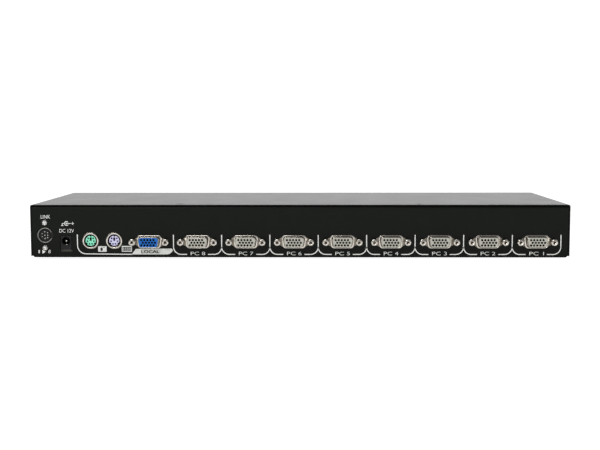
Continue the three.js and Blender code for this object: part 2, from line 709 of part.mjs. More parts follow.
function ribbonCable() {
  const start = new THREE.Vector2(RIBBON.y, BOARD_TOP + 7 + GAP);
  const corner = new THREE.Vector2(RIBBON.y, RIBBON.z);
  const end = new THREE.Vector2(FRONT_BOARD_FACE - BOARD_THICKNESS - 6 - GAP, RIBBON.z);
  const outline = bentLead(start, corner, end, RIBBON.bend, RIBBON.thickness);
  return prism(outline, "x", RIBBON.x - RIBBON.width / 2, RIBBON.x + RIBBON.width / 2);
}

const linkLeadEnd = () => REAR + LINK_SOCKET.depth + 4 + GAP + LINK_LEAD.bend + 2;

function linkLead() {
  const start = new THREE.Vector2(REAR + LINK_SOCKET.depth + 4 + GAP, LINK[1]);
  const corner = new THREE.Vector2(linkLeadEnd(), LINK[1]);
  const end = new THREE.Vector2(linkLeadEnd(), BOARD_TOP + 4 + GAP);
  const outline = bentLead(start, corner, end, LINK_LEAD.bend, LINK_LEAD.thickness);
  return prism(outline, "x", LINK[0] - LINK_LEAD.width / 2, LINK[0] + LINK_LEAD.width / 2);
}

function beeper() {
  return cut(
    prism(circle(0, 0, BEEPER.radius, 14), "z", 0, BEEPER.height),
    prism(circle(0, 0, 1, 6), "z", BEEPER.height - 3, BEEPER.height + 1),
  );
}

// ---- Feet ----

function rubberFoot() {
  const { radius } = FOOT;
  return solid(turned([[0, 0], [radius - 0.5, 0], [radius, 0.5], [radius, FOOT_HEIGHT], [0, FOOT_HEIGHT]], 20)
    .rotateX(Math.PI / 2));
}

// ---- Assembly ----
place("base_tray", shapeOf(baseTray()), POWDER_COAT);
place("top_cover", shapeOf(topCover()), POWDER_COAT);
place("front_overlay", shapeOf(frontOverlay()), OVERLAY);
place("main_board", shapeOf(mainBoard()), BOARD_GREEN);
place("front_board", shapeOf(frontBoard()), BOARD_GREEN);
place("ribbon_cable", shapeOf(ribbonCable()), LEAD_GREY);
place("link_lead", shapeOf(linkLead()), LEAD_GREY);
place("light_pipe", shapeOf(lightPipe()), CLEAR);
place("bank_display", shapeOf(bankDisplay()), BLACK_PLASTIC);
place("beeper", shapeOf(beeper()), BLACK_PLASTIC, BEEPER.x, BEEPER.y, ON_BOARD);

const shellShape = shapeOf(videoShell());
const insertShape = shapeOf(videoInsert());
for (const [name, x, z] of videoSockets) {
  place(`${name}_shell`, shellShape, NICKEL, x, REAR, z);
  place(`${name}_insert`, insertShape, name === "console_video" ? BLUE_INSERT : GREY_INSERT, x, REAR, z);
}

const shieldShape = shapeOf(roundShield());
const insulatorShape = shapeOf(roundInsulator());
for (const [name, [x, z], colour] of [
  ["mouse", MOUSE, GREEN_INSERT],
  ["keyboard", KEYBOARD, PURPLE_INSERT],
]) {
  place(`${name}_socket_shield`, shieldShape, NICKEL, x, REAR, z);
  place(`${name}_socket_insulator`, insulatorShape, colour, x, REAR, z);
}

place("link_socket_shield", shapeOf(linkShield()), NICKEL, LINK[0], REAR, LINK[1]);
place("link_socket_body", shapeOf(linkBody()), BLACK_PLASTIC, LINK[0], REAR, LINK[1]);
const linkScrewShape = shapeOf(linkScrew());
for (const [name, side] of [["upper", 1], ["lower", -1]]) {
  const z = LINK[1] + (side * LINK_SCREW_SPACING) / 2;
  place(`link_screw_${name}`, linkScrewShape, BRIGHT_SCREW, LINK[0], REAR, z);
}

place("power_jack_body", shapeOf(powerJackBody()), BLACK_PLASTIC, POWER[0], REAR, POWER[1]);
place("power_jack_pin", shapeOf(powerJackPin()), BRIGHT_SCREW, POWER[0], REAR, POWER[1]);

const buttonShape = shapeOf(portButton());
for (let port = 1; port <= PORTS; port += 1) {
  place(`port_button_${port}`, buttonShape, BUTTON_GREY, buttonX(port), FRONT, BUTTON_Z);
}

const coverScrewShape = shapeOf(coverScrew());
const seats = coverScrewSeats();
for (const { name, at, out } of [...seats.rear, ...seats.sides]) {
  place(name, coverScrewShape, BLACK_SCREW, at.x, at.y, at.z).quaternion.setFromUnitVectors(Y_AXIS, out);
}

const boardScrewShape = shapeOf(boardScrew());
BOARD_SCREWS.forEach(([x, y], i) => {
  const mesh = place(`board_screw_${i + 1}`, boardScrewShape, BRIGHT_SCREW, x, y, BOARD_TOP);
  mesh.quaternion.setFromUnitVectors(Y_AXIS, Z_AXIS);
});

const footShape = shapeOf(rubberFoot());
[[-1, -1], [1, -1], [-1, 1], [1, 1]].forEach(([sx, sy], i) => {
  const middle = (REAR + FRONT) / 2;
  const x = sx * (CASE_WIDTH / 2 - FOOT.sideInset);
  place(`rubber_foot_${i + 1}`, footShape, RUBBER, x, middle + sy * (CASE_DEPTH / 2 - FOOT.inset));
});

export default device;
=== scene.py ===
import math

import bmesh
import bpy
from mathutils import Matrix, Vector


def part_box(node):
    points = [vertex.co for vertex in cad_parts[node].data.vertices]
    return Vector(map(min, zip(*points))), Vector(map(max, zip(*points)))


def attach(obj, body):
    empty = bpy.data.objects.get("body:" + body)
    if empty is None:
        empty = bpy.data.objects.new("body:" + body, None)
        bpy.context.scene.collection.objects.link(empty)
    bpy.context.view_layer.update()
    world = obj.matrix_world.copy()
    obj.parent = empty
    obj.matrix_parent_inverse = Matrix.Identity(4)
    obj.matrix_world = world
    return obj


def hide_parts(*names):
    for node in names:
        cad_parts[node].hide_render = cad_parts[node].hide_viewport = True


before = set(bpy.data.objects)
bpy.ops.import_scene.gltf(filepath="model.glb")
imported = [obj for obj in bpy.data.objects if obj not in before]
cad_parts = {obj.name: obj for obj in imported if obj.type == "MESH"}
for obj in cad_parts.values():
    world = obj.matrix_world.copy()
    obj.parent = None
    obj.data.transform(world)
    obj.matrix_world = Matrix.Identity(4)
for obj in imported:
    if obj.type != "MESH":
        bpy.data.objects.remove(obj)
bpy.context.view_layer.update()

# Lengths below are millimetres, as in the CAD source. Outlines are (x, z) points across the
# panels. A socket's own mesh has its axis at x = z = 0 and the rear panel's face at y = 0, with
# -y pointing out of the panel.
MM = 0.001
PORTS = range(1, 9)


def box(node):
    low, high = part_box(node)
    return low / MM, high / MM


def centre(node):
    low, high = box(node)
    return (low + high) / 2


REAR = box("base_tray")[0].y
FRONT = box("base_tray")[1].y
UNDERSIDE = box("base_tray")[0].z


# ---- Outlines ----
def circle(x, z, radius, steps=32):
    turns = [2 * math.pi * (i + 0.5) / steps for i in range(steps)]
    return [(x + radius * math.cos(t), z + radius * math.sin(t)) for t in turns]


def rounded(corners, radius, steps=6):
    """A closed outline with each corner rounded in the given number of steps."""
    points = []
    for i, corner in enumerate(corners):
        here = Vector(corner)
        back = (Vector(corners[i - 1]) - here).normalized()
        on = (Vector(corners[(i + 1) % len(corners)]) - here).normalized()
        half = math.acos(max(-1, min(1, back.dot(on)))) / 2
        middle = here + (back + on).normalized() * radius / math.sin(half)
        start = here + back * radius / math.tan(half) - middle
        end = here + on * radius / math.tan(half) - middle
        sweep = math.atan2(start.x * end.y - start.y * end.x, start.dot(end))
        for k in range(steps + 1):
            turn = Matrix.Rotation(sweep * k / steps, 2)
            points.append(tuple(middle + turn @ start))
    return points


def rectangle(x, z, width, height, radius=0.5, steps=4):
    w, h = width / 2, height / 2
    return rounded([(x - w, z - h), (x + w, z - h), (x + w, z + h), (x - w, z + h)], radius, steps)


def d_shape(width, height, radius, steps=6):
    """The D of a video socket, whose sides lean in by ten degrees towards the bottom."""
    top, h = width / 2, height / 2
    bottom = top - height * math.tan(math.radians(10))
    return rounded([(-bottom, -h), (bottom, -h), (top, h), (-top, h)], radius, steps)


def hexagon(across, limit, steps=48):
    """A hexagon across the flats, cut off by a circle of the given radius."""
    points = []
    for i in range(steps):
        turn = 2 * math.pi * i / steps
        off = (turn + math.pi / 6) % (math.pi / 3) - math.pi / 6
        radius = min(across / 2 / math.cos(off), limit)
        points.append((radius * math.cos(turn), radius * math.sin(turn)))
    return points


# ---- Meshes ----
def finished(name, work, sharp=35):
    """A mesh in metres from bmesh work in millimetres, smooth but for its sharp edges."""
    bmesh.ops.remove_doubles(work, verts=work.verts, dist=1e-4)
    bmesh.ops.recalc_face_normals(work, faces=work.faces)
    mesh = bpy.data.meshes.new(name)
    work.to_mesh(mesh)
    work.free()
    mesh.transform(Matrix.Scale(MM, 4))
    mesh.shade_smooth()
    mesh.set_sharp_from_angle(angle=math.radians(sharp))
    return mesh


def two_tone(mesh, outside, inside, is_inside):
    """Gives the faces that is_inside picks, by their middles in millimetres, another finish."""
    if not mesh.materials:
        mesh.materials.append(outside)
    mesh.materials.append(inside)
    for face in mesh.polygons:
        if is_inside(*(face.center / MM)):
            face.material_index = len(mesh.materials) - 1
    return mesh


def joined(*parts):
    work = bmesh.new()
    for part in parts:
        scratch = bpy.data.meshes.new("scratch")
        part.to_mesh(scratch)
        part.free()
        work.from_mesh(scratch)
        bpy.data.meshes.remove(scratch)
    return work


def moved(part, x=0.0, y=0.0, z=0.0):
    bmesh.ops.translate(part, verts=part.verts, vec=(x, y, z))
    return part


def turned_to(part, direction):
    """Turns a piece that faces -y so that it faces the given way."""
    turn = Vector((0, -1, 0)).rotation_difference(Vector(direction)).to_matrix()
    bmesh.ops.rotate(part, verts=part.verts, cent=(0, 0, 0), matrix=turn)
    return part


def slab(outlines, front, back, edge=0.1, steps=2):
    """A plate from y = front to y = back with rounded edges; outlines inside others are holes."""
    curve = bpy.data.curves.new("slab", "CURVE")
    curve.dimensions = "2D"
    curve.fill_mode = "BOTH"
    curve.extrude = (back - front) / 2 - edge
    curve.bevel_depth = edge
    curve.bevel_resolution = steps
    curve.offset = -edge
    for outline in outlines:
        spline = curve.splines.new("POLY")
        spline.points.add(len(outline) - 1)
        for point, (x, z) in zip(spline.points, outline):
            point.co = (x, z, 0, 1)
        spline.use_cyclic_u = True
    holder = bpy.data.objects.new("slab", curve)
    mesh = bpy.data.meshes.new_from_object(holder)
    mesh.transform(Matrix.Translation((0, (front + back) / 2, 0)) @ Matrix.Rotation(math.pi / 2, 4, "X"))
    work = bmesh.new()
    work.from_mesh(mesh)
    bpy.data.meshes.remove(mesh)
    bpy.data.objects.remove(holder)
    bpy.data.curves.remove(curve)
    bmesh.ops.remove_doubles(work, verts=work.verts, dist=1e-4)
    return work


def loft(rings, closed=False):
    """A skin over rings of (outline, y), all with the same count of points."""
    work = bmesh.new()
    rows = [[work.verts.new((x, y, z)) for x, z in outline] for outline, y in rings]
    pairs = list(zip(rows, rows[1:] + rows[:1])) if closed else list(zip(rows, rows[1:]))
    for near, far in pairs:
        for i in range(len(near)):
            work.faces.new((near[i - 1], near[i], far[i], far[i - 1]))
    if not closed:
        work.faces.new(rows[0])
        work.faces.new(rows[-1])
    return work


def lathe(profile, steps=40):
    """A piece turned about the y axis, from (radius, y) points; the ends are capped."""
    return loft([(circle(0, 0, max(radius, 1e-3), steps), y) for radius, y in profile])


def ring(profile, steps=40):
    """A turned piece with an open middle, from a closed loop of (radius, y) points."""
    return loft([(circle(0, 0, radius, steps), y) for radius, y in profile], closed=True)


# ---- Finishes ----
class Finish:
    """A Principled material with its own node tree, fed by the piece's own coordinates."""

    def __init__(self, name, roughness, metallic=0.0, specular=0.5, coat=0.0):
        self.material = bpy.data.materials.new(name)
        self.material.use_nodes = True
        self.nodes = self.material.node_tree.nodes
        self.links = self.material.node_tree.links
        self.shader = self.nodes["Principled BSDF"]
        self.shader.inputs["Metallic"].default_value = metallic
        self.shader.inputs["Specular IOR Level"].default_value = specular
        self.shader.inputs["Coat Weight"].default_value = coat
        self.shader.inputs["Coat Roughness"].default_value = 0.15
        self.shader.inputs["Roughness"].default_value = roughness
        self.place = self.nodes.new("ShaderNodeTexCoord").outputs["Object"]

    def link(self, source, node, socket):
        self.links.new(source, node.inputs[socket])

    def noise(self, scale, detail=4.0, stretch=None):
        node = self.nodes.new("ShaderNodeTexNoise")
        node.inputs["Scale"].default_value = scale
        node.inputs["Detail"].default_value = detail
        place = self.place
        if stretch:
            mapping = self.nodes.new("ShaderNodeMapping")
            mapping.inputs["Scale"].default_value = stretch
            self.link(place, mapping, "Vector")
            place = mapping.outputs["Vector"]
        self.link(place, node, "Vector")
        return node.outputs["Fac"]

    def spread(self, source, low, high, to_low, to_high):
        node = self.nodes.new("ShaderNodeMapRange")
        for socket, value in zip(("From Min", "From Max", "To Min", "To Max"), (low, high, to_low, to_high)):
            node.inputs[socket].default_value = value
        self.link(source, node, "Value")
        return node.outputs["Result"]

    def blend(self, factor, first, second):
        """Mixes two colours, each an RGB triple or another node's output."""
        node = self.nodes.new("ShaderNodeMix")
        node.data_type = "RGBA"
        self.link(factor, node, 0)
        for index, value in ((6, first), (7, second)):
            if isinstance(value, tuple):
                node.inputs[index].default_value = (*value, 1)
            else:
                self.link(value, node, index)
        return node.outputs[2]

    def colour(self, source):
        self.link(source, self.shader, "Base Color")
        return self

    def rough(self, source, low, high):
        self.link(self.spread(source, 0.3, 0.7, low, high), self.shader, "Roughness")
        return self

    def relief(self, source, depth, strength=1.0, edge=0.0):
        """Bumps of the given depth in millimetres, over edges rounded by the given radius."""
        node = self.nodes.new("ShaderNodeBump")
        node.inputs["Strength"].default_value = strength
        node.inputs["Distance"].default_value = depth * MM
        self.link(source, node, "Height")
        if edge:
            bevel = self.nodes.new("ShaderNodeBevel")
            bevel.samples = 4
            bevel.inputs["Radius"].default_value = edge * MM
            self.link(bevel.outputs["Normal"], node, "Normal")
        self.link(node.outputs["Normal"], self.shader, "Normal")
        return self

    def worn_edges(self, radius):
        """1 on sharp edges, broken up by noise, and 0 on flat faces."""
        bevel = self.nodes.new("ShaderNodeBevel")
        bevel.samples = 4
        bevel.inputs["Radius"].default_value = radius * MM
        geometry = self.nodes.new("ShaderNodeNewGeometry")
        dot = self.nodes.new("ShaderNodeVectorMath")
        dot.operation = "DOT_PRODUCT"
        self.link(bevel.outputs["Normal"], dot, 0)
        self.link(geometry.outputs["Normal"], dot, 1)
        edge = self.spread(dot.outputs["Value"], 0.97, 0.75, 0.0, 1.0)
        broken = self.spread(self.noise(600, 6), 0.5, 0.7, 0.0, 1.0)
        product = self.nodes.new("ShaderNodeMath")
        product.operation = "MULTIPLY"
        self.link(edge, product, 0)
        self.link(broken, product, 1)
        return product.outputs["Value"]


def shade(colour, factor):
    return tuple(min(1.0, c * factor) for c in colour)


def moulded(name, colour, roughness=0.42, tone=0.12, grain=2500, depth=0.012, **sockets):
    """Moulded plastic: slight cloudiness, a fine spark-eroded grain, and uneven gloss."""
    f = Finish(name, roughness, **sockets)
    f.colour(f.blend(f.noise(350, 5), shade(colour, 1 - tone), shade(colour, 1 + tone)))
    f.rough(f.noise(900, 3), roughness - 0.07, roughness + 0.09)
    return f.relief(f.noise(grain, 2), depth, 0.5, edge=0.1).material


def plated(name, colour, roughness=0.24, tone=0.08, depth=0.003):
    """Plated metal: dull patches, faint tarnish in random patches, and drawing marks."""
    f = Finish(name, roughness, metallic=1.0)
    clean = f.blend(f.noise(500, 5), shade(colour, 1 - tone), shade(colour, 1 + tone))
    stain = f.spread(f.noise(180, 4), 0.55, 0.8, 0.0, 0.35)
    f.colour(f.blend(stain, clean, shade(colour, 0.62)))
    f.rough(f.noise(1400, 4), roughness - 0.05, roughness + 0.06)
    return f.relief(f.noise(900, 4, stretch=(1, 0.15, 1)), depth, 0.4, edge=0.12).material


def powder_coat():
    """Black powder coat: fine orange peel, dust in its pores, and paint worn thin on edges, lightened also
    as a painted edge highlight.
    """
    f = Finish("powder_coat", 0.34, specular=0.13)
    paint = f.blend(f.noise(60, 5), (0.0034, 0.0048, 0.0033), (0.0058, 0.0074, 0.0054))
    dust = f.spread(f.noise(1500, 6), 0.64, 0.88, 0.0, 0.3)
    dusty = f.blend(dust, paint, (0.035, 0.036, 0.033))
    # Lighter edges: paint worn thin, and a painted highlight along every sharp edge.
    f.colour(f.blend(f.worn_edges(0.3), dusty, (0.022, 0.023, 0.021)))
    f.rough(f.noise(45, 4), 0.325, 0.35)
    return f.relief(f.noise(1300, 3), 0.03, 0.3, edge=0.2).material


def ink(name, colour):
    """Screen-printed ink: a little thin in places, with a dry surface."""
    f = Finish(name, 0.5, specular=0.3)
    thin = f.spread(f.noise(1800, 4), 0.6, 0.8, 0.0, 0.5)
    f.colour(f.blend(thin, colour, shade(colour, 0.6)))
    f.rough(f.noise(1200, 3), 0.42, 0.6)
    return f.relief(f.noise(3000, 2), 0.008, 0.5).material


def rubber():
    f = Finish("rubber", 0.85, specular=0.25)
    f.colour(f.blend(f.noise(400, 5), (0.010, 0.010, 0.010), (0.028, 0.027, 0.026)))
    f.rough(f.noise(900, 3), 0.78, 0.95)
    return f.relief(f.noise(2200, 3), 0.04, 0.6, edge=0.15).material


def circuit_board(name, board_top):
    """Green solder mask with traces, pale sawn edges, and the dark parts that stand on it."""
    f = Finish(name, 0.35)
    separate = f.nodes.new("ShaderNodeSeparateXYZ")
    f.link(f.place, separate, "Vector")
    traces = f.nodes.new("ShaderNodeTexBrick")
    traces.inputs["Scale"].default_value = 260
    traces.inputs["Mortar Size"].default_value = 0.03
    traces.inputs["Color1"].default_value = (0.004, 0.045, 0.014, 1)
    traces.inputs["Color2"].default_value = (0.006, 0.060, 0.020, 1)
    traces.inputs["Mortar"].default_value = (0.012, 0.110, 0.035, 1)
    f.link(f.place, traces, "Vector")
    mask = f.blend(f.noise(120, 4), traces.outputs["Color"], (0.005, 0.05, 0.016))
    geometry, facing = f.nodes.new("ShaderNodeNewGeometry"), f.nodes.new("ShaderNodeSeparateXYZ")
    f.link(geometry.outputs["Normal"], facing, "Vector")
    upright = f.nodes.new("ShaderNodeMath")
    upright.operation = "ABSOLUTE"
    parts = f.blend(f.noise(300, 4), (0.010, 0.010, 0.011), (0.022, 0.022, 0.024))
    axis, limit, sign = board_top
    f.link(facing.outputs[axis], upright, 0)
    sawn = f.spread(upright.outputs[0], 0.3, 0.6, 1.0, 0.0)
    mask = f.blend(sawn, mask, (0.21, 0.20, 0.15))
    above = f.spread(separate.outputs[axis], limit * MM, (limit + sign * 0.02) * MM, 0.0, 1.0)
    f.colour(f.blend(above, mask, parts))
    f.rough(f.noise(700, 3), 0.28, 0.45)
    return f.relief(f.noise(1500, 3), 0.01, 0.4).material


def ribbon():
    """Grey flat cable with a ridge for each of its wires and one red edge."""
    f = Finish("ribbon_grey", 0.5)
    waves = f.nodes.new("ShaderNodeTexWave")
    waves.wave_type = "BANDS"
    waves.bands_direction = "X"
    waves.inputs["Scale"].default_value = 1 / (0.00127 * 20 / (2 * math.pi))
    f.link(f.place, waves, "Vector")
    f.colour(f.blend(waves.outputs["Fac"], (0.16, 0.16, 0.17), (0.36, 0.36, 0.37)))
    f.rough(f.noise(800, 3), 0.42, 0.58)
    return f.relief(waves.outputs["Fac"], 0.25, 0.8).material


def lamp_window(name, colour, glow):
    """Tinted clear moulding with a faint glow from the lamp behind it."""
    f = Finish(name, 0.14, coat=0.4)
    f.colour(f.blend(f.noise(700, 3), shade(colour, 0.85), shade(colour, 1.15)))
    f.shader.inputs["Emission Color"].default_value = (*colour, 1)
    f.shader.inputs["Emission Strength"].default_value = glow
    f.rough(f.noise(900, 2), 0.08, 0.2)
    return f.relief(f.noise(1600, 2), 0.01, 0.3).material


POWDER = powder_coat()
# Near black painted shade: it goes on the groove, hole, slot and gap faces of nickel and moulded parts, and
# on a liner tube, where shade falls.
PAINTED_SHADE_BLACK = moulded("painted_shade_black", (0.006, 0.006, 0.006), 0.7, specular=0.1)
NICKEL = plated("nickel", (0.66, 0.62, 0.56), 0.18)
# A near-black copy of the contact metal: painted shade on contacts deep inside the holes.
SHADED_CONTACT_METAL = plated("contact_tin_painted_shade", (0.05, 0.044, 0.034), 0.4)
STEEL = plated("bright_steel", (0.78, 0.77, 0.75), 0.22)
BLACK_STEEL = moulded("black_steel", (0.012, 0.012, 0.012), 0.3, specular=0.35)
INSERT_GREY = moulded("insert_grey", (0.53, 0.52, 0.45), 0.5)
INSERT_BLUE = moulded("insert_blue", (0.007, 0.14, 0.52), 0.4, specular=0.3)
INSERT_GREEN = moulded("insert_green", (0.27, 0.88, 0.60), 0.4)
INSERT_PURPLE = moulded("insert_purple", (0.67, 0.65, 0.95), 0.4)
BLACK_PLASTIC = moulded("black_plastic", (0.007, 0.007, 0.007), 0.38, specular=0.3)
# A darkened copy of the plating: painted shade in the screw's threaded bore.
SHADED_JACK_THREAD = plated("jack_thread_painted_shade", (0.16, 0.125, 0.09), 0.4)
DARK_NICKEL = plated("dark_nickel", (0.44, 0.43, 0.40), 0.3)
# A darkened copy of the nickel: painted shade on the flange, which lies recessed behind the panel.
SHADED_FLANGE_NICKEL = plated("flange_nickel_painted_shade", (0.30, 0.27, 0.22), 0.3)
BUTTON_PLASTIC = moulded("button_plastic", (0.26, 0.27, 0.28), 0.46, tone=0.06)
OVERLAY = moulded("overlay_film", (0.009, 0.010, 0.011), 0.3, depth=0.006, specular=0.3)
DISPLAY_FACE = moulded("display_face", (0.010, 0.004, 0.004), 0.12, depth=0.003, coat=0.8)
WHITE_INK = ink("white_ink", (0.96, 0.97, 0.93))
GREY_INK = ink("grey_ink", (0.80, 0.82, 0.78))
DARK_INK = ink("dark_ink", (0.015, 0.016, 0.015))
RUBBER = rubber()


# ---- Pieces ----
def piece(name, mesh, finish, at=(0, 0, 0), body="case", stands_for=(), turn=0):
    """Puts a mesh at a place in millimetres, turned in degrees about y, riding on a CAD body.

    A mesh that has finishes of its own keeps them."""
    if not mesh.materials:
        mesh.materials.append(finish)
    obj = bpy.data.objects.new(name, mesh)
    bpy.context.scene.collection.objects.link(obj)
    obj.location = Vector(at) * MM
    obj.rotation_euler.y = math.radians(turn)
    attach(obj, body)
    if stands_for:
        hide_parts(*stands_for)
    return obj


# ---- Video sockets ----
JACK_SPACING = 24.99
VIDEO_REACH = 5.8
BOSS = (19.9, 9.8)


def offset_d(grow_x, grow_z, radius):
    return d_shape(16.3 + 2 * grow_x, 7.9 + 2 * grow_z, radius)


def video_shell_mesh():
    """A stamped boss with a sunk groove round the drawn D that stands out of it."""
    wide, tall = (BOSS[0] - 16.3) / 2, (BOSS[1] - 7.9) / 2
    rim = [(wide, tall, 2.6, 2.1), (wide, tall, 2.6, -0.05)]
    rim += [(wide - 0.08, tall - 0.08, 2.5, -0.22), (wide - 0.25, tall - 0.25, 2.4, -0.3)]
    groove = [(0.6, 0.42, 2.5, -0.3), (0.5, 0.36, 2.45, -0.2), (0.45, 0.34, 2.4, 0.6), (0, 0, 2.1, 0.7)]
    lip = [(0, 0, 2.1, 0.25 - VIDEO_REACH), (-0.06, -0.06, 2.04, 0.08 - VIDEO_REACH)]
    lip += [(-0.2, -0.2, 1.9, -VIDEO_REACH), (-0.34, -0.34, 1.76, 0.08 - VIDEO_REACH)]
    bore = [(-0.4, -0.4, 1.7, 0.25 - VIDEO_REACH), (-0.4, -0.4, 1.7, 2.1)]
    drawn = loft([(offset_d(gx, gz, r), y) for gx, gz, r, y in rim + groove + lip + bore], closed=True)
    holes = [d_shape(19.4, 9.3, 2.3)] + [circle(s * JACK_SPACING / 2, 0, 1.6) for s in (-1, 1)]
    flange = slab([rectangle(0, 0, 30.8, 12.5, 2)] + holes, 1.3, 2.1, 0.12)
    mesh = finished("video_shell", joined(drawn, flange))

    # The groove's faces get near-black painted shade in place of nickel.
    def in_groove(x, y, z):
        return abs(z) < BOSS[1] / 2 - 0.4 and -0.25 < y < 0.75

    two_tone(mesh, NICKEL, PAINTED_SHADE_BLACK, in_groove)
    # The faces behind the panel's face get the darkened nickel as painted shade.
    return two_tone(mesh, NICKEL, SHADED_FLANGE_NICKEL, lambda x, y, z: y > 1.1)


def jack_screw_mesh():
    """A hexagonal standoff with a chamfered end and a thread inside."""
    across, reach = 4.8, 5.0
    outside = [(hexagon(across, 9), -0.1), (hexagon(across, 9), 0.7 - reach)]
    outside += [(hexagon(across, 2.62), 0.55 - reach), (hexagon(across, 2.3), 0.2 - reach)]
    outside += [(hexagon(across, 1.9), 0.04 - reach), (hexagon(across, 1.45), -reach)]
    thread = [(hexagon(9, 1.1 if k % 2 else 0.98), 0.3 - reach + 0.2 * k) for k in range(14)]
    nut = loft(outside + thread)
    stud = lathe([(1.5, 2.6), (1.5, -0.2)], 24)
    mesh = finished("jack_screw", joined(nut, stud), 28)
    # The thread inside the bore gets the darkened plating as painted shade.
    return two_tone(mesh, NICKEL, SHADED_JACK_THREAD, lambda x, y, z: math.hypot(x, z) < 1.2 and -4.8 < y < -1)


def video_contacts():
    """The fifteen contacts: three rows of five, the middle row half a pitch to the right."""
    pitch, row_pitch = 2.29, 1.98
    return [
        (column * pitch + (1 if row == 0 else -1) * pitch / 4, row * row_pitch)
        for row in (-1, 0, 1)
        for column in range(-2, 3)
    ]


def video_insert_mesh(finish):
    holes = [circle(x, z, 0.86, 16) for x, z in video_contacts()]
    front = slab([d_shape(15.3, 6.9, 1.6)] + holes, 0.2 - VIDEO_REACH, -1.6, 0.08)
    body = slab([d_shape(15.3, 6.9, 1.6)], -1.6, 2.3, 0.05)
    housing = slab([rectangle(0, -0.15, 17, 11.3, 0.6)], 2.4, 11.2, 0.2)
    mesh = finished("video_insert", joined(front, body, housing))

    # The contact holes' walls get near-black painted shade in place of the moulding's colour.
    def in_hole(x, y, z):
        near = min(math.hypot(x - a, z - b) for a, b in video_contacts())
        return near < 0.92 and 0.3 - VIDEO_REACH < y < -1

    return two_tone(mesh, finish, PAINTED_SHADE_BLACK, in_hole)


def video_contacts_mesh():
    sleeves = [
        moved(ring([(0.48, -3.6), (0.48, -1.8), (0.32, -1.8), (0.32, -3.6)], 12), x=x, z=z)
        for x, z in video_contacts()
    ]
    return finished("video_contacts", joined(*sleeves))


SHELL, JACK, SLEEVES = video_shell_mesh(), jack_screw_mesh(), video_contacts_mesh()
GREY_MOULD, BLUE_MOULD = video_insert_mesh(INSERT_GREY), video_insert_mesh(INSERT_BLUE)


def video_socket(name, mould, turns):
    axis = centre(f"{name}_shell")
    at = Vector((axis.x, REAR, axis.z))
    shell, insert = [f"{name}_shell"], [f"{name}_insert"]
    piece(f"{name}_metal_shell", SHELL, NICKEL, at, stands_for=shell)
    for side, place, turn in ((-1, "left", turns[0]), (1, "right", turns[1])):
        middle = at + Vector((side * JACK_SPACING / 2, 0, 0))
        piece(f"{name}_jack_screw_{place}", JACK, NICKEL, middle, stands_for=shell, turn=turn)
    piece(f"{name}_moulding", mould, INSERT_GREY, at, stands_for=insert)
    piece(f"{name}_contacts", SLEEVES, SHADED_CONTACT_METAL, at, stands_for=insert)


# Each jack screw stops at its own angle when it is tight.
video_socket("console_video", BLUE_MOULD, (12, 41))
for port in PORTS:
    video_socket(f"pc_port_{port}", GREY_MOULD, (port * 23 % 60, port * 37 % 60))


# ---- Mouse and keyboard sockets ----
ROUND_CONTACTS = [(-1.9, 1.8), (1.9, 1.8), (-2.45, -0.35), (2.45, -0.35), (-1, -2.4), (1, -2.4)]


def round_shield_mesh():
    """A drawn tube whose front edge is rolled, on the can that is behind the panel."""
    profile = [(6.1, 2.0), (6.1, -0.85), (5.95, -1.1), (5.7, -1.2), (5.15, -1.2), (4.95, -1.1)]
    profile += [(4.85, -0.85), (4.85, 10.9), (6.1, 10.9)]
    can = slab([rectangle(0, -0.3, 14, 13.4, 0.6), circle(0, 0, 6.0)], 1.4, 12, 0.15)
    mesh = finished("round_shield", joined(ring(profile, 48), can))
    # The inside of the tube gets near-black painted shade in place of nickel.
    return two_tone(mesh, NICKEL, PAINTED_SHADE_BLACK, lambda x, y, z: math.hypot(x, z) < 4.9 and y > -0.8)


def keyed_circle(radius, notch, steps=72):
    """A circle with a notch at the top and one on either side low down."""
    points = []
    for i in range(steps):
        turn = 2 * math.pi * i / steps
        depth = 0
        for key in (90, 215, 325):
            off = math.degrees(turn) - key
            if abs((off + 180) % 360 - 180) < 9:
                depth = notch
        points.append(((radius - depth) * math.cos(turn), (radius - depth) * math.sin(turn)))
    return points


def round_insulator_mesh(finish):
    holes = [circle(x, z, 0.62, 16) for x, z in ROUND_CONTACTS]
    key = rectangle(0, 1.2, 1.5, 2.6, 0.2, 2)
    front = slab([keyed_circle(3.85, 0.85), key] + holes, -0.4, 4, 0.12)
    back = slab([circle(0, 0, 4.7)], 8.9, 10.8, 0.1)
    post = slab([keyed_circle(3.8, 0.9)], 4, 8.9, 0.05)
    mesh = finished("round_insulator", joined(front, post, back))

    # The key slot, the contact holes and the sides inside the tube get near-black painted shade in place of
    # the moulding's colour.
    def in_hole(x, y, z):
        key_slot = abs(x) < 0.8 and -0.15 < z < 2.55
        near = min(math.hypot(x - a, z - b) for a, b in ROUND_CONTACTS)
        return y > -0.25 and (key_slot or near < 0.66 or math.hypot(x, z) > 3.4)

    return two_tone(mesh, finish, PAINTED_SHADE_BLACK, in_hole)


ROUND_SHIELD = round_shield_mesh()
for name, finish, slot in (
    ("mouse_socket", INSERT_GREEN, "green_plastic"),
    ("keyboard_socket", INSERT_PURPLE, "purple_plastic"),
):
    axis = centre(f"{name}_insulator")
    at = (axis.x, REAR, axis.z)
    piece(f"{name}_can", ROUND_SHIELD, NICKEL, at, stands_for=[f"{name}_shield"])
    piece(f"{name}_face", round_insulator_mesh(finish), finish, at,
          stands_for=[f"{name}_insulator"])
    # A near-black tube lining the shield: painted shade inside the tube, not a part of the socket.
    shade_liner = ring([(4.8, -0.2), (4.8, 8.8), (4.6, 8.8), (4.6, -0.2)], 40)
    piece(f"{name}_well", finished(f"{name}_well", shade_liner), PAINTED_SHADE_BLACK, at)


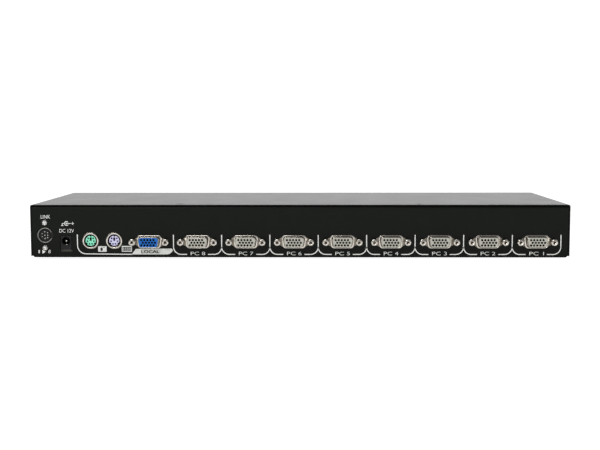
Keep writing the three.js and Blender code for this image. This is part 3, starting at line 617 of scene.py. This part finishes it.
# ---- Link socket ----
LINK_CONTACTS = [(-2.3, 1.2), (-2.3, -1.2), (-0.2, 2.6), (-0.2, 0), (-0.2, -2.6)]
LINK_CONTACTS += [(1.9, 1.9), (1.9, 0), (1.9, -1.9)]
LINK_SCREW = 9.55


def split_ring(outer, inner, gap_degrees, front, back, steps=56):
    """A tube with a slot along its right side."""
    half = math.radians(gap_degrees)
    turns = [half + (2 * math.pi - 2 * half) * i / steps for i in range(steps + 1)]
    outline = [(outer * math.cos(t), outer * math.sin(t)) for t in turns]
    outline += [(inner * math.cos(t), inner * math.sin(t)) for t in reversed(turns)]
    return slab([outline], front, back, 0.1)


def link_body_mesh():
    flange = slab(
        [rectangle(0, 0, 12.4, 24.1, 2)] + [circle(0, s * LINK_SCREW, 1.6) for s in (-1, 1)], 1.3, 3.3, 0.2
    )
    holes = [circle(x, z, 0.52, 14) for x, z in LINK_CONTACTS]
    post = slab([circle(0, 0, 3.85, 48)] + holes, 0.2, 6, 0.15)
    floor = slab([circle(0, 0, 4.85, 48)], 6, 9, 0.1)
    block = slab([rectangle(0, 0, 14, 14, 0.5)], 9, 13, 0.2)
    return finished("link_body", joined(flange, post, floor, block))


def cross_screw(radius, height, length, shank, dome=0.35):
    """A pan-head screw with a cross recess, facing -y with the seat at y = 0."""
    arm, half = radius * 0.62, radius * 0.15
    cross = [(half, half), (arm, half), (arm, -half), (half, -half), (half, -arm), (-half, -arm)]
    cross += [(-half, -half), (-arm, -half), (-arm, half), (-half, half), (-half, arm), (half, arm)]
    head = slab([circle(0, 0, radius, 40), cross], -height, -height + 0.7 * height, dome * height)
    seat = slab([circle(0, 0, radius, 40)], -height * 0.45, 0, 0.05)
    thread = [(shank, -0.1)]
    for k in range(1, int(length / 0.35)):
        thread.append((shank if k % 2 else shank * 0.82, 0.35 * k))
    thread.append((shank * 0.6, length))
    return joined(head, seat, lathe(thread, 20))


def link_socket():
    axis = centre("link_socket_body")
    at = (axis.x, REAR, axis.z)
    tube = finished("link_ring", split_ring(5.6, 5.15, 26, -0.25, 8.8))
    piece("link_socket_ring", tube, DARK_NICKEL, at, stands_for=["link_socket_shield"])
    piece("link_socket_moulding", link_body_mesh(), BLACK_PLASTIC, at,
          stands_for=["link_socket_body"])
    pins = [moved(lathe([(0.47, 5.5), (0.47, 0.35), (0.25, 0.1)], 16), x=x, z=z) for x, z in LINK_CONTACTS]
    piece("link_socket_contacts", finished("link_contacts", joined(*pins)), STEEL, at,
          stands_for=["link_socket_body"])
    for side, place in ((1, "upper"), (-1, "lower")):
        screw = moved(cross_screw(1.98, 1.35, 4.9, 1.3), y=-0.1)
        piece(f"link_fixing_{place}", finished(f"link_fixing_{place}", screw), STEEL,
              (axis.x, REAR, axis.z + side * LINK_SCREW), stands_for=[f"link_screw_{place}"])


link_socket()


# ---- Power jack ----
def power_jack():
    low, high = box("power_jack_body")
    axis = centre("power_jack_pin")
    at = (axis.x, REAR, axis.z)
    top, bottom = high.z - axis.z, low.z - axis.z
    outline = rectangle(0, (top + bottom) / 2, 8.3, top - bottom, 0.5)
    front = slab([outline, circle(0, 0, 3.05)], 0.2, 9.8, 0.25)
    end = slab([outline], 9.8, 14.2, 0.2)
    lip = ring([(3.6, 0.1), (3.45, -0.05), (3.15, 0.05), (3.05, 0.4), (3.3, 0.6)], 40)
    piece("power_jack_moulding", finished("power_jack_moulding", joined(front, end, lip)), BLACK_PLASTIC, at,
          stands_for=["power_jack_body"])
    spring = slab([rectangle(0, -2.75, 1.6, 0.3, 0.1)], 1.6, 9, 0.08)
    tip = [(0.85, 9.6), (0.85, 1.7), (0.78, 1.35), (0.55, 1.1), (0.2, 1.0)]
    piece("power_jack_contact", finished("power_jack_contact", joined(lathe(tip, 28), spring)), NICKEL, at,
          stands_for=["power_jack_pin"])


power_jack()


# ---- Prints ----
def flat(outlines, lift, face, outward):
    """Print with a hair's thickness on a panel, from closed outlines."""
    near = face + outward * (lift + 0.02)
    far = face + outward * lift
    return slab(outlines, min(near, far), max(near, far), 0.0, 0)


def stroke(points, width):
    """An outline that follows a line of points at the given width."""
    left, right = [], []
    for i, point in enumerate(points):
        here = Vector(point)
        back = Vector(points[max(i - 1, 0)])
        on = Vector(points[min(i + 1, len(points) - 1)])
        along = (on - back).normalized()
        side = Vector((-along.y, along.x)) * width / 2
        left.append(tuple(here + side))
        right.append(tuple(here - side))
    return left + right[::-1]


def arc(x, z, radius, start, end, steps=10):
    turns = [math.radians(start + (end - start) * i / steps) for i in range(steps + 1)]
    return [(x + radius * math.cos(t), z + radius * math.sin(t)) for t in turns]


def lettering(words, x, z, width, height, face, outward, lift=0.02, weight=-0.005):
    """Generic lettering centred on (x, z), stretched to the given size."""
    curve = bpy.data.curves.new("lettering", "FONT")
    curve.body = words
    curve.fill_mode = "BOTH"
    curve.extrude = 0.01
    curve.offset = weight
    holder = bpy.data.objects.new("lettering", curve)
    mesh = bpy.data.meshes.new_from_object(holder)
    work = bmesh.new()
    work.from_mesh(mesh)
    bpy.data.meshes.remove(mesh)
    bpy.data.objects.remove(holder)
    bpy.data.curves.remove(curve)
    xs, ys = [v.co.x for v in work.verts], [v.co.y for v in work.verts]
    wide, tall = width / (max(xs) - min(xs)), height / (max(ys) - min(ys))
    for v in work.verts:
        across = (v.co.x - (max(xs) + min(xs)) / 2) * wide
        up = (v.co.y - (max(ys) + min(ys)) / 2) * tall
        v.co = (x - outward * across, face + outward * (lift + 0.01 + v.co.z), z + up)
    return work


def rear_prints():
    face, outward = REAR, -1
    ports = [centre(f"pc_port_{port}_shell").x for port in PORTS]
    pitch = (ports[0] - ports[-1]) / 7
    base = UNDERSIDE + 0.5
    line, low, top, fork = 0.67, base + 1.75, base + 16.5, base + 7.4
    radius = fork - low
    outlines = []
    for i in range(9):
        x = ports[-1] + pitch * (i - 0.5)
        outlines.append(stroke([(x, top), (x, fork - 0.2)], line))
        if i > 0:
            bend = arc(x - radius, fork, radius, 0, -90)
            outlines.append(stroke(bend + [(x - 10.3, low)], line))
        if i < 8:
            bend = arc(x + radius, fork, radius, 180, 270)
            outlines.append(stroke(bend + [(x + 10.1, low)], line))
    white = [flat([outline], 0.02, face, outward) for outline in outlines]
    for port, x in zip(PORTS, ports):
        white.append(lettering(f"PC {port}", x + 0.2, base + 2.45, 10.9, 2.6, face, outward))

    console, first = centre("console_video_shell").x, ports[-1] - pitch / 2
    mouse, keyboard = centre("mouse_socket_insulator").x, centre("keyboard_socket_insulator").x
    left = mouse - 10.1
    outer = [(left, base + 16.8), (left, base + 8.4)] + arc(left + 6.3, base + 8.4, 6.3, 180, 270)
    outer += [(console - 12.6, low)]
    white.append(flat([stroke(outer, line)], 0.02, face, outward))
    plate = [(console - 13.5, base + 1.65), (first - 6.5, base + 1.65)]
    plate += arc(first - 5.2, base + 6.6, 4.9, 270, 342)[1:]
    plate += [(first - 1.6, base + 6.2), (console - 10.3, base + 5.9)]
    grey = [flat([plate], 0.02, face, outward)]
    labels = [rectangle(mouse + 8.6, base + 5.8, 6.4, 4.2, 0.15, 2)]
    labels += [rectangle(keyboard + 9.3, base + 5.9, 7.6, 4.4, 0.15, 2)]
    grey += [flat([label], 0.02, face, outward) for label in labels]

    link, power = centre("link_socket_body"), centre("power_jack_pin")
    white.append(lettering("LINK", link.x + 0.6, base + 30.2, 7.1, 2.7, face, outward))
    white.append(lettering("DC 12V", power.x + 0.7, base + 19.6, 11.0, 2.7, face, outward))
    symbol = (power.x + 0.7, base + 25.1)
    circle_line = [arc(*symbol, 1.5, 40, 320, 20), arc(*symbol, 1.5, -40, 40, 6)[1:-1]]
    white.append(flat([stroke(circle_line[0], 0.45)], 0.02, face, outward))
    white.append(flat([circle(*symbol, 0.65, 20)], 0.02, face, outward))
    for points in (
        [(0, 0), (3.1, 0)],
        [(-1.5, 0), (-3.4, 0)],
        [(-3.2, 0), (-3.2, -1.5)],
        [(-4.1, -1.6), (-2.3, -1.6)],
        [(3.7, 0), (5.6, 0)],
        [(4.65, 0.95), (4.65, -0.95)],
    ):
        placed = [(symbol[0] + x, symbol[1] + z) for x, z in points]
        white.append(flat([stroke(placed, 0.42)], 0.02, face, outward))
    white.append(lettering("1", link.x - 4.8, base + 3.8, 0.9, 2.4, face, outward))
    white.append(lettering("8", link.x + 3.0, base + 3.8, 1.7, 2.4, face, outward))
    arrow = [(link.x - 2.3, base + 2.2), (link.x + 0.2, base + 3.6), (link.x - 2.3, base + 5.0)]
    white.append(flat([arrow], 0.02, face, outward))

    dark = [lettering("LOCAL", console + 0.6, base + 3.8, 13.7, 2.4, face, outward, 0.05, 0.03)]
    mouse_x, key_x = mouse + 8.6, keyboard + 9.3
    dark.append(flat([rectangle(mouse_x - 0.6, base + 5.6, 1.7, 2.6, 0.8, 4)], 0.05, face, outward))
    tail = stroke([(mouse_x + 0.6, base + 6.9), (mouse_x + 2.2, base + 7.3)], 0.35)
    dark.append(flat([tail], 0.05, face, outward))
    keys = rectangle(key_x, base + 5.8, 6.4, 3.0, 0.3, 2)
    caps = [
        rectangle(key_x - 2.4 + 1.6 * column, base + 5.1 + 1.3 * row, 1.0, 0.6, 0.1, 1)
        for row in (0, 1)
        for column in range(4)
    ]
    dark.append(flat([keys] + caps, 0.05, face, outward))
    for name, parts, finish in (
        ("rear_print", white, WHITE_INK),
        ("rear_label_plates", grey, GREY_INK),
        ("rear_label_marks", dark, DARK_INK),
    ):
        piece(name, finished(name, joined(*parts)), finish)


rear_prints()


# ---- Front panel ----
BUTTON_ROUND = 1.1
LAMP_OFFSET = 3.5  # from a button's middle to each of its two lamps


def button_mesh(low, high):
    """A cap with a dished face, on the rim that keeps it behind the panel."""
    width, height, reach = 12.0, 7.0, high.y - FRONT
    cap = []
    for inset, y in ((0, -1.2), (0, reach - 0.7), (0.16, reach - 0.3), (0.45, reach - 0.07), (0.8, reach)):
        cap.append((rectangle(0, 0, width - 2 * inset, height - 2 * inset, BUTTON_ROUND, 6), y))
    for inset, dish in ((1.2, 0.06), (2.0, 0.18), (2.8, 0.25)):
        cap.append((rectangle(0, 0, width - 2 * inset, height - 2 * inset, 0.6, 6), reach - dish))
    rim = slab([rectangle(0, 0, high.x - low.x, high.z - low.z, 0.6)], low.y - FRONT, low.y - FRONT + 1, 0.1)
    return finished("button", joined(loft(cap), rim), 25)


for port in PORTS:
    name = f"port_button_{port}"
    low, high = box(name)
    middle = (low + high) / 2
    piece(f"port_key_{port}", button_mesh(low, high), BUTTON_PLASTIC, (middle.x, FRONT, middle.z),
          body=f"button_{port}", stands_for=[name])


def front_overlay():
    low, high = box("front_overlay")
    display_low, display_high = box("bank_display")
    pipe_low, pipe_high = box("light_pipe")
    lamp_z = (pipe_low.z + pipe_high.z) / 2
    sheet = rectangle((low.x + high.x) / 2, (low.z + high.z) / 2, high.x - low.x, high.z - low.z, 2.2, 6)
    openings = []
    for port in PORTS:
        middle = centre(f"port_button_{port}")
        openings.append(rectangle(middle.x, middle.z, 12.8, 7.8, 1.4, 5))
        for side in (-1, 1):
            openings.append(circle(middle.x + side * LAMP_OFFSET, lamp_z, 1.75, 24))
    window = centre("bank_display")
    openings.append(rectangle(window.x, window.z, 13.1, 19.5, 0.5, 3))
    film = slab([sheet] + openings, low.y, high.y, 0.12)
    piece("front_panel_film", finished("front_panel_film", film), OVERLAY,
          stands_for=["front_overlay"])

    bar_back = pipe_low.y
    length = rectangle(centre("light_pipe").x, lamp_z, pipe_high.x - pipe_low.x, 4.0, 0.4)
    bar = slab([length], bar_back, FRONT - 1.4, 0.15)
    piece("light_pipe_bar", finished("light_pipe_bar", bar), CLEAR,
          stands_for=["light_pipe"])
    for side, name, finish in ((-1, "lamp_online", GREEN_LAMP), (1, "lamp_selected", AMBER_LAMP)):
        lenses = []
        for port in PORTS:
            dome = [(1.45, -1.4), (1.45, 0.75), (1.38, 0.95), (1.1, 1.12), (0.6, 1.2), (0.05, 1.22)]
            x = centre(f"port_button_{port}").x + side * LAMP_OFFSET
            lenses.append(moved(lathe(dome, 28), x=x, z=lamp_z))
        lens = moved(joined(*lenses), y=FRONT - 0.3)
        piece(f"{name}_lenses", finished(name, lens), finish, stands_for=["light_pipe"])

    face = high.y
    marks = []
    for port in PORTS:
        middle = centre(f"port_button_{port}")
        width = 0.9 if port == 1 else 1.8
        marks.append(lettering(str(port), middle.x, middle.z + 6.4, width, 2.6, face, 1, weight=0.0))
        for side in (-1, 1):
            halo = [circle(middle.x + side * LAMP_OFFSET, lamp_z, radius, 28) for radius in (2.35, 2.1)]
            marks.append(flat(halo, 0.02, face, 1))
    ends = centre("port_button_8").x - 9.5, centre("port_button_1").x + 9.5
    marks.append(flat([stroke([(ends[0], lamp_z + 5), (ends[1], lamp_z + 5)], 0.4)], 0.02, face, 1))
    marks.append(flat([stroke([(ends[0], middle.z - 6), (ends[1], middle.z - 6)], 0.4)], 0.02, face, 1))
    frame_out = rectangle(window.x, window.z, 17.6, 24, 1.2, 4)
    frame_in = rectangle(window.x, window.z, 16.8, 23.2, 0.8, 4)
    marks.append(flat([frame_out, frame_in], 0.02, face, 1))
    piece("front_print", finished("front_print", joined(*marks)), WHITE_INK)

    block = slab([rectangle(window.x, window.z, 12.6, 19, 0.4)], display_low.y, display_high.y, 0.1)
    piece("digit_display", finished("digit_display", block), DISPLAY_FACE,
          stands_for=["bank_display"])
    digit_face = display_high.y
    lit, unlit = [], []
    bars = {"top": (0, 5.6, 1), "middle": (0, 0, 1), "bottom": (0, -5.6, 1)}
    bars |= {"upper_left": (-3.2, 2.8, 0), "upper_right": (3.2, 2.8, 0)}
    bars |= {"lower_left": (-3.2, -2.8, 0), "lower_right": (3.2, -2.8, 0)}
    for name, (x, z, level) in bars.items():
        half, thick = 2.35, 0.55
        shape = [(-half, 0), (-half + thick, thick), (half - thick, thick), (half, 0)]
        shape += [(half - thick, -thick), (-half + thick, -thick)]
        if not level:
            shape = [(b, a) for a, b in reversed(shape)]
        slanted = [(window.x - (a + x) - (b + z) * 0.08, window.z + b + z) for a, b in shape]
        segments = lit if name in ("upper_right", "lower_right") else unlit
        segments.append(flat([slanted], 0.03, digit_face, 1))
    piece("digit_lit", finished("digit_lit", joined(*lit)), RED_LAMP,
          stands_for=["bank_display"])
    piece("digit_unlit", finished("digit_unlit", joined(*unlit)), DARK_SEGMENT,
          stands_for=["bank_display"])


CLEAR = lamp_window("clear_moulding", (0.5, 0.52, 0.5), 0.0)
GREEN_LAMP = lamp_window("green_lamp", (0.12, 0.55, 0.16), 0.5)
AMBER_LAMP = lamp_window("amber_lamp", (0.65, 0.26, 0.03), 0.2)
RED_LAMP = lamp_window("red_lamp", (0.9, 0.05, 0.02), 1.6)
DARK_SEGMENT = lamp_window("dark_segment", (0.05, 0.02, 0.02), 0.0)
front_overlay()


# ---- Feet and cover screws ----
def foot_mesh():
    profile = [(6.0, 0.0), (6.0, -1.2), (5.8, -1.7), (5.3, -1.95), (4.4, -2.0), (3.2, -2.0)]
    profile += [(2.9, -1.85), (2.7, -1.2), (0.6, -1.1)]
    return finished("foot", turned_to(lathe(profile, 48), (0, 0, -1)), 30)


FOOT = foot_mesh()
for n in range(1, 5):
    low, high = box(f"rubber_foot_{n}")
    middle = (low + high) / 2
    piece(f"foot_pad_{n}", FOOT, RUBBER, (middle.x, middle.y, high.z),
          stands_for=[f"rubber_foot_{n}"])


def countersunk(direction):
    """A countersunk cover screw with a cross recess, its head level with y = 0 at rest."""
    arm, half, radius = 1.55, 0.36, 2.85
    cross = [(half, half), (arm, half), (arm, -half), (half, -half), (half, -arm), (-half, -arm)]
    cross += [(-half, -half), (-arm, -half), (-arm, half), (-half, half), (-half, arm), (half, arm)]
    head = slab([circle(0, 0, radius, 40), cross], 0.0, 0.9, 0.1)
    cone = lathe([(radius - 0.1, 0.5), (radius - 0.1, 0.9), (1.5, 1.5), (1.5, 4.4)], 40)
    return turned_to(joined(head, cone), direction)


COVER_SCREWS = {"rear_left": (0, 0, 1), "rear_right": (0, 0, 1)}
COVER_SCREWS |= {f"left_{n}": (-1, 0, 0) for n in (1, 2)} | {f"right_{n}": (1, 0, 0) for n in (1, 2)}
for place, direction in COVER_SCREWS.items():
    low, high = box(f"cover_screw_{place}")
    middle = (low + high) / 2
    at = [middle[i] if d == 0 else (high[i] if d > 0 else low[i]) for i, d in enumerate(direction)]
    piece(f"cover_fixing_{place}", finished("cover_fixing", countersunk(direction)), BLACK_STEEL, at,
          stands_for=[f"cover_screw_{place}"])


# ---- CAD nodes that stay ----
def smoothing():
    """A modifier group that shades smooth but for the sharp edges."""
    group = bpy.data.node_groups.new("smooth_but_sharp", "GeometryNodeTree")
    for way in ("INPUT", "OUTPUT"):
        group.interface.new_socket("Geometry", in_out=way, socket_type="NodeSocketGeometry")
    add = group.nodes.new
    start, end = add("NodeGroupInput"), add("NodeGroupOutput")
    faces, edges = add("GeometryNodeSetShadeSmooth"), add("GeometryNodeSetShadeSmooth")
    edges.domain = "EDGE"
    edges.inputs["Shade Smooth"].default_value = False
    angle, compare = add("GeometryNodeInputMeshEdgeAngle"), add("FunctionNodeCompare")
    compare.operation = "GREATER_THAN"
    compare.inputs["B"].default_value = math.radians(32)
    link = group.links.new
    link(angle.outputs["Unsigned Angle"], compare.inputs["A"])
    link(compare.outputs["Result"], edges.inputs["Selection"])
    link(start.outputs["Geometry"], faces.inputs["Geometry"])
    link(faces.outputs["Geometry"], edges.inputs["Geometry"])
    link(edges.outputs["Geometry"], end.inputs["Geometry"])
    return group


SMOOTH = smoothing()
MAIN_BOARD = circuit_board("main_board_mask", ("Z", UNDERSIDE + 5.46, 1))
FRONT_BOARD = circuit_board("front_board_mask", ("Y", FRONT - 8.98, 1))
LEAD = moulded("lead_jacket", (0.27, 0.27, 0.265), 0.5)
KEPT = {"base_tray": POWDER, "top_cover": POWDER, "main_board": MAIN_BOARD, "front_board": FRONT_BOARD}
KEPT |= {"ribbon_cable": ribbon(), "link_lead": LEAD, "beeper": BLACK_PLASTIC}
KEPT |= {f"board_screw_{n}": STEEL for n in range(1, 5)}
for name, finish in KEPT.items():
    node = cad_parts[name]
    node.data.materials.clear()
    node.data.materials.append(finish)
    modifier = node.modifiers.new("smooth", "NODES")
    modifier.node_group = SMOOTH


# ---- Stage, light and camera ----
def glow_off_the_object(f):
    """The floor's glow, which the object's reflections see fade in its contact shadow."""
    split, path = f.nodes.new("ShaderNodeSeparateXYZ"), f.nodes.new("ShaderNodeLightPath")
    f.link(f.place, split, "Vector")
    off = []
    for axis, middle, half in (
        ("X", 0, box("top_cover")[1].x * MM),
        ("Y", (REAR + FRONT) / 2 * MM, (FRONT - REAR) / 2 * MM),
    ):
        shift, size, beyond = (f.nodes.new("ShaderNodeMath") for _ in range(3))
        for node, operation, value in (
            (shift, "SUBTRACT", middle),
            (size, "ABSOLUTE", 0),
            (beyond, "SUBTRACT", half),
        ):
            node.operation = operation
            node.inputs[1].default_value = value
        f.link(split.outputs[axis], shift, 0)
        f.link(shift.outputs[0], size, 0)
        f.link(size.outputs[0], beyond, 0)
        off.append(beyond.outputs[0])
    farther = f.nodes.new("ShaderNodeMath")
    farther.operation = "MAXIMUM"
    f.link(off[0], farther, 0)
    f.link(off[1], farther, 1)
    shadowed = f.spread(farther.outputs[0], -0.01, 0.03, 0.1, 0.85)
    glow = f.nodes.new("ShaderNodeMix")
    f.link(path.outputs["Is Camera Ray"], glow, 0)
    f.link(shadowed, glow, 2)
    glow.inputs[3].default_value = 0.97
    return glow.outputs[0]


def floor():
    mesh = bpy.data.meshes.new("floor")
    mesh.from_pydata([(-6, -6, 0), (6, -6, 0), (6, 6, 0), (-6, 6, 0)], [], [(0, 1, 2, 3)])
    obj = bpy.data.objects.new("floor", mesh)
    bpy.context.scene.collection.objects.link(obj)
    f = Finish("floor_white", 0.9, specular=0.0)
    f.shader.inputs["Base Color"].default_value = (0.4, 0.4, 0.4, 1)
    f.shader.inputs["Emission Color"].default_value = (1, 1, 1, 1)
    f.link(glow_off_the_object(f), f.shader, "Emission Strength")
    mesh.materials.append(f.material)


def surroundings():
    """Plain white behind the object; the light comes mostly from above and behind."""
    world = bpy.data.worlds.new("studio")
    bpy.context.scene.world = world
    world.use_nodes = True
    nodes, link = world.node_tree.nodes, world.node_tree.links.new
    nodes.clear()
    seen, light = nodes.new("ShaderNodeBackground"), nodes.new("ShaderNodeBackground")
    seen.inputs["Strength"].default_value = 1.05
    seen.inputs["Color"].default_value = light.inputs["Color"].default_value = (1, 1, 1, 1)
    path, mix = nodes.new("ShaderNodeLightPath"), nodes.new("ShaderNodeMixShader")
    output, place = nodes.new("ShaderNodeOutputWorld"), nodes.new("ShaderNodeTexCoord")
    split = nodes.new("ShaderNodeSeparateXYZ")
    link(place.outputs["Generated"], split.inputs["Vector"])
    up, back = nodes.new("ShaderNodeMapRange"), nodes.new("ShaderNodeMapRange")
    low = nodes.new("ShaderNodeMapRange")
    for node, source, start, stop, first, last in (
        (low, "Z", 0.25, 0.6, 1.0, 0.0),
        (back, "Y", -0.1, 0.5, 0.0, 1.35),
        (up, "Z", 0.0, 1.0, 0.25, 0.35),
    ):
        node.inputs["From Min"].default_value, node.inputs["From Max"].default_value = start, stop
        node.inputs["To Min"].default_value, node.inputs["To Max"].default_value = first, last
        link(split.outputs[source], node.inputs["Value"])
    total = nodes.new("ShaderNodeMath")
    total.operation = "MULTIPLY_ADD"
    link(low.outputs["Result"], total.inputs[0])
    link(back.outputs["Result"], total.inputs[1])
    link(up.outputs["Result"], total.inputs[2])
    link(total.outputs["Value"], light.inputs["Strength"])
    link(path.outputs["Is Camera Ray"], mix.inputs["Fac"])
    link(light.outputs["Background"], mix.inputs[1])
    link(seen.outputs["Background"], mix.inputs[2])
    link(mix.outputs["Shader"], output.inputs["Surface"])


def soft_light(name, at, towards, size, power):
    data = bpy.data.lights.new(name, "AREA")
    data.shape, data.size, data.size_y, data.energy = "RECTANGLE", size[0], size[1], power
    lamp = bpy.data.objects.new(name, data)
    lamp.location = at
    lamp.rotation_euler = (Vector(towards) - Vector(at)).to_track_quat("-Z", "Y").to_euler()
    bpy.context.scene.collection.objects.link(lamp)


def camera():
    """At the photograph's place: 0.8 m behind the rear panel, a little above the lid."""
    yaw, pitch, roll = (math.radians(a) for a in (-0.943, 5.641, -0.092))
    ahead = Vector((math.sin(yaw) * math.cos(pitch), math.cos(yaw) * math.cos(pitch), -math.sin(pitch)))
    level = Vector((math.cos(yaw), -math.sin(yaw), 0))
    above = level.cross(ahead)
    right = level * math.cos(roll) + above * math.sin(roll)
    up = above * math.cos(roll) - level * math.sin(roll)
    data = bpy.data.cameras.new("camera")
    data.lens, data.sensor_width, data.sensor_fit = 61.78, 36.0, "HORIZONTAL"
    data.clip_start, data.clip_end = 0.01, 50
    obj = bpy.data.objects.new("camera", data)
    turn = Matrix((right, up, -ahead)).transposed().to_4x4()
    obj.matrix_world = Matrix.Translation(Vector((13.29, REAR - 768.21, UNDERSIDE + 100.35)) * MM) @ turn
    bpy.context.scene.collection.objects.link(obj)
    bpy.context.scene.camera = obj


floor()
surroundings()
soft_light("key", (-0.5, -1.3, 1.1), (0, 0, 0.02), (0.9, 0.6), 12)
camera()
bpy.context.scene.view_settings.view_transform = "Standard"
